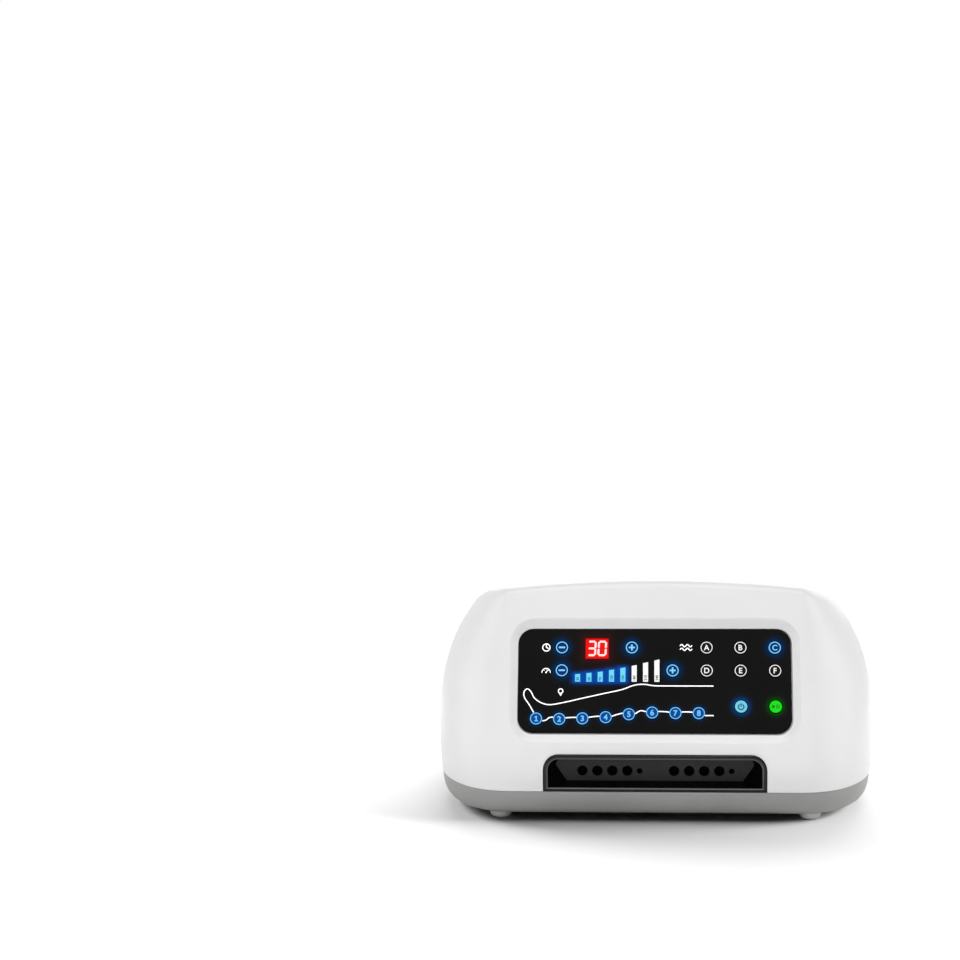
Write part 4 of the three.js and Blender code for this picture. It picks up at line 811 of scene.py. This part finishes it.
def portBlock():
    front, back, edge, height = (sockets[name] for name in ("front", "back", "edge", "z"))
    starts = [share * bay["half"] for share in sockets["startShares"]]
    places = [start + i * sockets["pitch"] for start in starts for i in range(sockets["count"])]
    pins = [start + (sockets["count"] - 1) * sockets["pitch"] + sockets["pinOffset"] for start in starts]
    radius, pinRadius = sockets["diameter"] / 2, sockets["pin"] / 2

    def ring(grow, y):
        return bayRing(bayOutline(*backHalves, bay["low"], backHigh, sockets["radius"], -grow), y)

    plate = loft([ring(edge, front), ring(0, front + edge), ring(0, front + sockets["plate"])])
    piece = buildPiece("port_block_form", [plate], ["block_black", "bay_painted_shade"])
    housings = [block((start - blockSizes["before"], front + blockSizes["behindFace"], blockSizes["low"]),
                      (pin + blockSizes["after"], back, blockSizes["high"]))
                for start, pin in zip(starts, pins)]
    nipples = [latheAlongY(blockSizes["nipple"], 32, (x, back, height)) for x in places]
    bores = [boreTool(x, radius, sockets["depth"], sockets["lip"]) for x in places]
    bores += [boreTool(x, pinRadius, sockets["pinDepth"], sockets["pinLip"]) for x in pins]
    airways = [latheAlongY([(blockSizes["airRadius"], 0), (blockSizes["airRadius"], blockSizes["airLength"])],
                           24, (x, front + blockSizes["airFrom"], height)) for x in places]
    carve(piece, [("UNION", housings), ("UNION", nipples), ("DIFFERENCE", bores), ("DIFFERENCE", airways)],
          sharpAngle)
    # Faces inside the bores get the near-black finish, as painted shade in the holes
    holes = [(x, radius) for x in places] + [(x, pinRadius) for x in pins]
    for face in piece.data.polygons:
        x, y, z = face.center / mm
        bored = any(hypot(x - hole, z - height) < reach + 0.05 for hole, reach in holes)
        inside = front + 0.2 < y < front + sockets["depth"] + 0.1
        face.material_index = 1 if bored and inside else 0
    dress(piece)
    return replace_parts(piece, "port_block")


portBay()
portBlock()
print("stage: port bay and block")


def numbered(name, count):
    return [f"{name}_{i}" for i in range(1, count + 1)]


# A place on the face, from shares of the panel's half width and half height
def onPanel(across, up):
    return across * (panel["width"] / 2), panel["rise"] + up * (panel["height"] / 2)


modeShares, timeUp, pressureUp, powerUp = (0.381, 0.628, 0.878), 0.647, 0.208, -0.474
positionUpShares = (-0.713, -0.719, -0.707, -0.683, -0.625, -0.592, -0.601, -0.601)
positionFromShare, positionPitchShare = -0.865, 0.1694
keyPlaces = dict(time_minus=onPanel(-0.68, timeUp), time_plus=onPanel(-0.166, timeUp),
                 pressure_minus=onPanel(-0.68, pressureUp), pressure_plus=onPanel(0.132, pressureUp),
                 power=onPanel(modeShares[1], powerUp), start_pause=onPanel(modeShares[2], powerUp))
for i, letter in enumerate("abcdef"):
    keyPlaces[f"mode_{letter}"] = onPanel(modeShares[i % 3], timeUp if i < 3 else pressureUp)
for i, up in enumerate(positionUpShares):
    keyPlaces[f"position_{i + 1}"] = onPanel(positionFromShare + positionPitchShare * i, up)
positions = numbered("position", 8)
windowPlace = onPanel(-0.4218, 0.628)
window = dict(width=14.4, height=13.2, radius=0.3)
panelTop = -panel["depth"]
panelLow = panelTop - panel["thickness"]
printLow, printHigh = panelTop - 0.01, panelTop + 0.05
bars = dict(first=-47.9, pitch=7.05, width=3.15, base=56.9, lit=5, slant=0.75, slantShares=(0.35, 0.65),
            tops=(61.7, 62.4, 63.2, 64.4, 65.7, 67.2, 69.0, 70.7), numberHeight=1.7, numberUp=(1.75, 2.45),
            weight=0.02)

# Painted glow on the black panel round each lit key, standing in for the light that spills from it: its
# colour, radius, fade and strength
paintedSpill = {**dict.fromkeys(("time_minus", "time_plus", "pressure_minus", "pressure_plus", "mode_c"),
                         ((0, 46, 88), 4.1, 1.9, 1)),
         **dict.fromkeys(positions, ((0, 46, 88), 4.1, 0.9, 0.8)),
         "power": ((0, 66, 124), 4, 1.6, 1), "start_pause": ((0, 78, 0), 4, 1.5, 1)}
# Colour, fade and power of the painted glow round the lit bars and the display, and how much the painted glow
# takes from the black's colour and sheen
paintedBarGlow, paintedWindowGlow = ((2, 80, 178), 1.9, 1.5), ((52, 0, 2), 2.4, 1)
keyFall, barStretch, dimming = 1.4, 1.6, 0.92


# The painted glow at each point of the panel, and how much of the black's colour it leaves
def paintedGlowColours(u, v):
    total, lit = np.zeros((len(u), 3)), np.zeros(len(u))

    def shine(beyond, colour, fade, power, strength=1):
        share = strength * np.exp(-(beyond / fade) ** power)
        total[:] += share[:, None] * linear(*colour)
        return share

    def beyondBox(middle, width, height, stretch=1):
        return np.hypot(np.maximum(0, np.abs(u - middle[0]) - width / 2),
                        stretch * np.maximum(0, np.abs(v - middle[1]) - height / 2))

    for name, (colour, radius, fade, strength) in paintedSpill.items():
        x, y = keyPlaces[name]
        lit += shine(np.maximum(0, np.hypot(u - x, v - y) - radius), colour, fade, keyFall, strength)
    for i, top in enumerate(bars["tops"][:bars["lit"]]):
        middle = (bars["first"] + i * bars["pitch"], (bars["base"] + top) / 2)
        lit += shine(beyondBox(middle, bars["width"], top - bars["base"], barStretch), *paintedBarGlow)
    shine(beyondBox(windowPlace, window["width"], window["height"]), *paintedWindowGlow)
    return np.column_stack([np.minimum(total, 1), 1 - dimming * np.minimum(lit, 1)])


# The plate's play in its seat, its eased edge, its posts and holes, and the grid that carries the painted
# glow
plate = dict(play=(0.4, 0.6), rest=(-0.2, 0.3), edge=((0, -0.35), (0.1, -0.1), (0.35, 0)), under=6, over=1,
             post=(2.2, -12.7), hole=4.4, holeEdge=0.15, grid=(236, 92), gridHalf=(88, 36),
             postShares=((-0.28, 0.747), (0.28, 0.747), (-0.6, -0.217), (0.4, -0.217)), faceFrom=0.5)


# A slab whose two faces are grids
def gridSlab(us, vs, low, high):
    flat = np.column_stack([grid.ravel() for grid in np.meshgrid(us, vs)])
    base = len(flat)
    order = np.arange(base).reshape(len(vs), len(us))
    corners = (order[:-1, :-1], order[:-1, 1:], order[1:, 1:], order[1:, :-1])
    faces = []
    for a, b, c, d in zip(*(corner.ravel().tolist() for corner in corners)):
        faces += [(a, b, c, d), (base + a, base + d, base + c, base + b)]
    edge = np.concatenate([order[0], order[1:, -1], order[-1, -2::-1], order[-2:0:-1, 0]]).tolist()
    faces += [(a, b, b + base, a + base) for a, b in zip(edge, edge[1:] + edge[:1])]
    return np.vstack([atHeight(flat, low), atHeight(flat, high)]), faces, 0


def controlPanel():
    width, height = panel["width"] - plate["play"][0], panel["height"] - plate["play"][1]
    middle = (plate["rest"][0], panel["rise"] + plate["rest"][1])
    levels = ((0, panelLow), *((grow, panelTop + z) for grow, z in plate["edge"]))
    body = loft([atHeight(roundedRect(width - 2 * grow, height - 2 * grow, panel["radius"] - grow,
                                      panel["arcSteps"], middle), w) for grow, w in levels])
    piece = buildPiece("control_panel_form", [body], ["panel_black"])
    (halfU, halfV), (columns, rows) = plate["gridHalf"], plate["grid"]
    slab = gridSlab(np.linspace(-halfU, halfU, columns),
                    np.linspace(panel["rise"] - halfV, panel["rise"] + halfV, rows), panelLow - 2, panelTop)
    under, over = panelLow - plate["under"], panelTop + plate["over"]
    radius, edge = plate["hole"], plate["holeEdge"]
    holes = [lathe([(radius, under), (radius, panelTop - edge), (radius + edge, over)], 48, place)
             for place in keyPlaces.values()]
    holes.append(prism(roundedRect(window["width"], window["height"], window["radius"], 4, windowPlace),
                       under, over))
    radius, low = plate["post"]
    posts = [lathe([(radius, low), (radius, panelLow + 1)], 24, onPanel(*shares))
             for shares in plate["postShares"]]
    for step in (("INTERSECT", [slab]), ("DIFFERENCE", holes), ("UNION", posts)):
        carve(piece, [step], shellSharpAngle, "EXACT")
    vertices = piece.data.vertices
    places = np.zeros(len(vertices) * 3)
    vertices.foreach_get("co", places)
    u, v, w = places.reshape(-1, 3).T / mm
    onFront = (w > panelLow + plate["faceFrom"])[:, None]
    # The painted glow on the plate's front, kept as a colour attribute
    layer = piece.data.color_attributes.new("glow", "FLOAT_COLOR", "POINT")
    layer.data.foreach_set("color", np.where(onFront, paintedGlowColours(u, v), (0, 0, 0, 1)).ravel())
    vertices.foreach_set("co", (onFace(np.column_stack([u, v, w])) * mm).ravel())
    piece.data.update()
    smoothPiece(piece, shellSharpAngle)
    dress(piece)
    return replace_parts(piece, "control_panel")


panelPiece = controlPanel()
print("stage: control panel", len(panelPiece.data.polygons))


# Flat prints, a twentieth of a millimetre thick: a stroke with round ends
def strokeChunk(path, width, index=0, high=printHigh):
    path = np.asarray(path, float)
    ahead = np.gradient(path, axis=0)
    ahead /= np.maximum(np.hypot(*ahead.T), 1e-9)[:, None]
    side = np.column_stack([-ahead[:, 1], ahead[:, 0]]) * width / 2
    arc = np.radians((20, 40, 60, 80))

    def cap(end, sign, angles):
        return [(path[end] + ahead[end] * sign * width / 2 * sin(a), side[end] * cos(a)) for a in angles]

    spine = cap(0, -1, arc[::-1]) + list(zip(path, side)) + cap(-1, 1, arc)
    return loft([[(*(p + s), printLow), (*(p - s), printLow), (*(p - s), high), (*(p + s), high)]
                 for p, s in spine], index=index)


def smoothPath(points, steps=10):
    points = np.asarray(points, float)
    padded = np.vstack([2 * points[0] - points[1], points, 2 * points[-1] - points[-2]])
    path = []
    for i in range(1, len(padded) - 2):
        a, b, c, d = padded[i - 1:i + 3]
        for t in np.arange(steps) / steps:
            path.append(0.5 * (2 * b + (c - a) * t + (2 * a - 5 * b + 4 * c - d) * t ** 2
                               + (3 * b - a - 3 * c + d) * t ** 3))
    return np.vstack([path, points[-1:]])


def arcPath(middle, radius, start, end, steps=40):
    angles = np.radians(np.linspace(start, end, steps))
    return np.column_stack([middle[0] + radius * np.cos(angles), middle[1] + radius * np.sin(angles)])


def ringChunk(middle, outer, inner, index=0):
    profile = ((inner, printLow), (outer, printLow), (outer, printHigh), (inner, printHigh))
    return loft([atHeight(circle(r, 72, middle), z) for r, z in profile], cyclic=True, index=index)


# Share of the font's size that its capitals are high
capitalShare = 0.73


# One plain character or number, centred on its own outline; height is that of a capital letter
def signChunk(text, height, middle, index=0, weight=0.0, turn=0, low=printLow, high=printHigh):
    curve = bpy.data.curves.new("sign", "FONT")
    curve.body = text
    curve.size = 1
    curve.offset = weight
    curve.resolution_u = 6
    curve.fill_mode = "FRONT"
    obj = addObject("sign", curve)
    mesh = evaluatedMesh(obj)
    work = bmesh.new()
    work.from_mesh(mesh)
    bmesh.ops.remove_doubles(work, verts=work.verts, dist=1e-4)
    made = bmesh.ops.extrude_face_region(work, geom=list(work.faces))
    raised = {v for v in made["geom"] if isinstance(v, bmesh.types.BMVert)}
    work.verts.index_update()
    points = np.array([[v.co.x, v.co.y, high if v in raised else low] for v in work.verts])
    faces = [tuple(v.index for v in f.verts) for f in work.faces]
    work.free()
    bpy.data.objects.remove(obj)
    bpy.data.curves.remove(curve)
    bpy.data.meshes.remove(mesh)
    flat = points[:, :2]
    flat = (flat - (flat.min(0) + flat.max(0)) / 2) * height / capitalShare
    cosine, sine = cos(radians(turn)), sin(radians(turn))
    points[:, 0] = middle[0] + flat[:, 0] * cosine - flat[:, 1] * sine
    points[:, 1] = middle[1] + flat[:, 0] * sine + flat[:, 1] * cosine
    return points, faces, index


# Radii of a key's stem, flange, cap, lit face and rings
key = dict(stem=1.5, stemLow=-8.9, flange=5.3, cap=4.1, blueReach=3.98, plainReach=3.76, sides=56)
blueRing, whiteRing, positionRing = (3.76, 3.16), (3.7, 3.22), (3.74, 3.2)
letterHeight, letterWeight, numberWeight = 3.5, 0.02, 0.03


# One key: its body, its lit face, a ring of (outer, inner) radius or none, and its sign
def keyPiece(name, faceFinish, printFinish, ring, glyph):
    middle = keyPlaces[name]
    stem, flange, cap, top = key["stem"], key["flange"], key["cap"], panelLow - casing["gap"]
    body = [(stem, key["stemLow"]), (stem, top - 1), (flange - 0.2, top - 1), (flange, top - 0.8),
            (flange, top - 0.15), (flange - 0.15, top), (cap, top), (cap, panelTop - 0.25),
            (cap - 0.08, panelTop - 0.08), (cap - 0.25, panelTop)]
    rings = [ringChunk(middle, *ring, 1)] if ring else []
    reach = ring[0] - 0.1 if ring else key["plainReach"]
    if faceFinish == "key_blue":
        reach = key["blueReach"]
    face = lathe([(reach, printLow), (reach, printLow + 0.03)], key["sides"], middle, 2)
    piece = facePiece(f"key_{name}_form", [lathe(body, key["sides"], middle), *rings, *glyph(*middle), face],
                      ["key_black", printFinish, faceFinish], "key_black", f"key_{name}_body")
    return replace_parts(piece, f"key_{name}")


def flatSign(outline, index=1):
    return prism(outline, printLow, printHigh, index)


def minusSign(x, y):
    return [strokeChunk([(x - 1.5, y), (x + 1.5, y)], 1.1, 1)]


def plusSign(x, y):
    arm, half = 1.9, 0.52
    cross = [(-arm, -half), (-half, -half), (-half, -arm), (half, -arm), (half, -half), (arm, -half),
             (arm, half), (half, half), (half, arm), (-half, arm), (-half, half), (-arm, half)]
    return [flatSign([(x + a, y + b) for a, b in cross])]


def powerSign(x, y):
    return [strokeChunk(arcPath((x, y - 0.2), 1.7, 130, 410), 0.78, 1),
            strokeChunk([(x, y + 0.1), (x, y + 1.75)], 0.78, 1)]


def playSign(x, y):
    half, wide = 1.35, 0.4
    lefts = [x + 0.35 + i * 0.78 for i in range(3)]
    return [flatSign([(x - 2.2, y - 1.45), (x - 0.1, y), (x - 2.2, y + 1.45)])] + [
        flatSign([(a, y - half), (a + wide, y - half), (a + wide, y + half), (a, y + half)]) for a in lefts]


def numberOne(x, y):
    return [strokeChunk([(x + 0.15, y - 1.4), (x + 0.15, y + 1.45)], 0.72, 1),
            strokeChunk([(x + 0.1, y + 1.4), (x - 0.75, y + 0.8)], 0.62, 1, printHigh - 0.01),
            strokeChunk([(x - 0.7, y - 1.45), (x + 1.0, y - 1.45)], 0.62, 1, printHigh - 0.01)]


def lettered(text, weight):
    return lambda x, y: [signChunk(text, letterHeight, (x, y), 1, weight)]


for kind, sign in (("minus", minusSign), ("plus", plusSign)):
    for name in ("time", "pressure"):
        keyPiece(f"{name}_{kind}", "key_blue", "print_lit", blueRing, sign)
for letter in "abdef":
    keyPiece(f"mode_{letter}", "key_black", "print_white_painted_glow", whiteRing, lettered(letter.upper(), letterWeight))
keyPiece("mode_c", "key_blue", "print_lit", blueRing, lettered("C", letterWeight))
for name in positions:
    sign = numberOne if name == positions[0] else lettered(name[-1], numberWeight)
    keyPiece(name, "key_disc_blue", "print_blue", positionRing, sign)
keyPiece("power", "key_cyan", "print_dark", None, powerSign)
keyPiece("start_pause", "key_green", "print_green", None, playSign)
print("stage: keys")


def levelBars():
    chunks = []
    base, (least, growth) = bars["base"], bars["slantShares"]
    for i, top in enumerate(bars["tops"]):
        middle = bars["first"] + i * bars["pitch"]
        left = middle - bars["width"] / 2
        right = left + bars["width"]
        lit = i < bars["lit"]
        slant = bars["slant"] * (least + growth * i / 7)
        chunks.append(flatSign([(left, base), (right, base), (right, top + slant / 2),
                                (left, top - slant / 2)], 0 if lit else 1))
        up = bars["numberUp"][0 if i < 3 else 1]
        chunks.append(signChunk(str((i + 1) * 30), bars["numberHeight"], (middle, base + up), 2 if lit else 3,
                                bars["weight"], 90, printHigh - 0.02, printHigh + 0.03))
    return facePiece("level_bars", chunks, ["bar_blue", "print_white_painted_glow", "print_dark", "print_grey"],
                     "panel_black")


# A plain leg seen from the side: foot to the left, knee in the middle; its lower line runs between the keys
def legContour():
    weight, end = 0.66, 36.2
    upper = [(-75.2, 37.6), (-78.0, 42.4), (-80.9, 46.8), (-81.2, 50.4), (-79.2, 52.2), (-77.0, 50.6),
             (-74.6, 46.4), (-70.2, 43.4), (-64.8, 42.3), (-56, 43.8), (-44, 46.6), (-32, 49.3),
             (-20.4, 51.9), (-13, 54.6), (-7, 55.3), (0, 54.4), (8, 54.3), (end, 54.3)]
    keys = [keyPlaces[name] for name in positions]
    (x, y), (nextX, nextY), (lastX, lastY) = keys[0], keys[1], keys[-1]
    low = [[(x + 4.3, y - 1.4), (x + 6.2, y - 0.9), (x + 8.2, y + 0.6), (nextX - 4.0, nextY + 1.1)]]
    for (x, y), (nextX, nextY) in zip(keys[1:], keys[2:]):
        rise = 0.9 if (x, y) == keys[4] else 0
        low.append([(x + 4.1, y + 0.7 - rise * 0.3), ((x + nextX) / 2, (y + nextY) / 2 + 0.75 + rise),
                    (nextX - 4.1, nextY + 0.6)])
    low.append([(across, lastY - 1.5) for across in (lastX + 3.9, lastX + 6, end)])
    chunks = [strokeChunk(smoothPath(upper), weight)]
    chunks += [strokeChunk(smoothPath(part, 6), weight) for part in low]
    return facePiece("leg_contour", chunks, ["print_bright_painted_glow"], "panel_black")


def clockMark(x, y):
    return [ringChunk((x, y), 2.6, 2.0), strokeChunk([(x, y), (x, y + 1.6)], 0.6),
            strokeChunk([(x, y), (x + 1.15, y - 0.5)], 0.6)]


def gaugeMark(x, y):
    ticks = [strokeChunk([arcPath((x, y), radius, angle, angle, 1)[0] for radius in (1.7, 2.3)], 0.3)
             for angle in (45, 90, 135)]
    return [strokeChunk(arcPath((x, y), 2.6, 180, 0), 0.5), strokeChunk([(x, y), (x + 1.2, y + 1.65)], 0.46),
            lathe([(0.5, printLow), (0.5, printHigh)], 24, (x, y)), *ticks]


def waveMark(x, y):
    return [strokeChunk([(x - 3.6 + 0.3 * i, y + lift + 0.75 * sin(i * pi / 6)) for i in range(25)], 0.62)
            for lift in (-1.15, 1.15)]


def placeMark(x, y):
    return [ringChunk((x, y + 0.5), 1.7, 1.1),
            flatSign([(x - 1.2, y - 0.7), (x, y - 2.7), (x + 1.2, y - 0.7), (x, y - 1.1)], 0)]


levelBars()
legContour()
facePiece("pictograms", clockMark(-67.6, 78.6) + gaugeMark(-67.6, 62.7) + waveMark(19.6, 78.7)
          + placeMark(-58.4, 50.4), ["print_bright_painted_glow"], "panel_black")
print("stage: prints")

digit = dict(apart=3.25, height=9.9, width=5.7, stroke=1.25, tip=0.12, slant=0.05, high=0.04)
lens = dict(gap=0.6, radius=0.5, arcSteps=6, flange=1, edge=((0, -0.2), (0.06, -0.06), (0.2, 0)))


# Seven bars with mitred ends; lit names them a to g
def segmentDigit(x, y, lit):
    s, tip = digit["stroke"] / 2, digit["tip"]
    w, h = digit["width"] / 2 - s, digit["height"] / 2 - s

    def across(cy):
        return [(x - w + tip, cy), (x - w + s, cy + s), (x + w - s, cy + s), (x + w - tip, cy),
                (x + w - s, cy - s), (x - w + s, cy - s)]

    def upright(cx, a, b):
        return [(cx, a + tip), (cx + s, a + s), (cx + s, b - s), (cx, b - tip), (cx - s, b - s),
                (cx - s, a + s)]

    shapes = {"a": across(y + h), "g": across(y), "d": across(y - h), "b": upright(x + w, y, y + h),
              "c": upright(x + w, y - h, y), "e": upright(x - w, y - h, y), "f": upright(x - w, y, y + h)}
    return [prism([(px + digit["slant"] * (py - y), py) for px, py in shapes[name]], printLow,
                  panelTop + digit["high"], 1) for name in lit]


def displayLens():
    width, height = window["width"] - lens["gap"], window["height"] - lens["gap"]
    step, flange = panelLow - casing["gap"], lens["flange"]
    levels = [(-flange, step - flange), (-flange, step), (0, step)]
    levels += [(grow, panelTop + z) for grow, z in lens["edge"]]
    chunks = [loft([atHeight(roundedRect(width - 2 * grow, height - 2 * grow, lens["radius"],
                                         lens["arcSteps"], windowPlace), w) for grow, w in levels])]
    for side, lit in ((-1, "abgcd"), (1, "abcdef")):
        chunks += segmentDigit(windowPlace[0] + side * digit["apart"], windowPlace[1], lit)
    piece = facePiece("display_lens_form", chunks, ["lens_red", "digit_white"], "lens_red")
    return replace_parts(piece, "display_lens")


displayLens()

footTop = casing["underside"] - casing["gap"]
footProfile = [(4.4, 0), (5.1, 0.12), (5.9, 0.6), (6.5, 1.4), (6.9, 2.4), (7.15, 3.5), (7.2, footTop - 0.3),
               (7.05, footTop), (2, footTop), (2, footTop + 3.1), (1.7, footTop + 3.4)]
for end in ("front", "rear"):
    for side, sign in (("left", -1), ("right", 1)):
        name = f"foot_{end}_{side}"
        shape = lathe(footProfile, 64, (sign * feet["x"], feet[end]))
        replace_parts(buildPiece(f"{name}_form", [shape], ["foot_rubber"], "foot_rubber"), name)
print("stage: display and feet")


# A black fitting of the back: a copy of its solid with eased edges
def easedCopy(node, width, body="casing"):
    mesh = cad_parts[node].data.copy()
    mesh.materials.clear()
    mesh.materials.append(finishes["bay_black"])
    piece = addObject(f"{node}_form", mesh)
    work = bmesh.new()
    work.from_mesh(mesh)
    bmesh.ops.remove_doubles(work, verts=work.verts, dist=1e-6)
    bmesh.ops.dissolve_limit(work, angle_limit=0.01, verts=work.verts, edges=work.edges)
    for face in work.faces:
        face.material_index = 0
    work.to_mesh(mesh)
    work.free()
    bevel = piece.modifiers.new("ease", "BEVEL")
    bevel.width = width * mm
    bevel.segments = 3
    bevel.limit_method = "ANGLE"
    bevel.angle_limit = radians(40)
    bevel.use_clamp_overlap = True
    eased = evaluatedMesh(piece)
    piece.modifiers.clear()
    piece.data = eased
    smoothPiece(piece)
    dress(piece, body)
    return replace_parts(piece, node)


easedCopy("mains_inlet", 0.3)
easedCopy("switch_frame", 0.25)
easedCopy("switch_rocker", 0.25, "rocker_body")

# Carried-over solids keep their shape and get a finish each
carriedOver = dict(steel=["compressor_body", "compressor_armature", *numbered("case_screw", 4)],
                   valve_plastic=["valve_manifold", "display_module", *numbered("valve", 8)],
                   tube=["feed_tube"], core_iron=["transformer"], cable_grey=["ribbon_cable"],
                   board_green=["main_board", "control_board"],
                   cast_aluminium=["compressor_head_left", "compressor_head_right"],
                   dark_rubber=numbered("compressor_mount", 4))
for finishName, nodes in carriedOver.items():
    for place in (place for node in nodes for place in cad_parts[node].material_slots):
        place.link = "OBJECT"
        place.material = finishes[finishName]
print("stage: carried-over solids", sum(len(nodes) for nodes in carriedOver.values()))

bpy.context.view_layer.update()
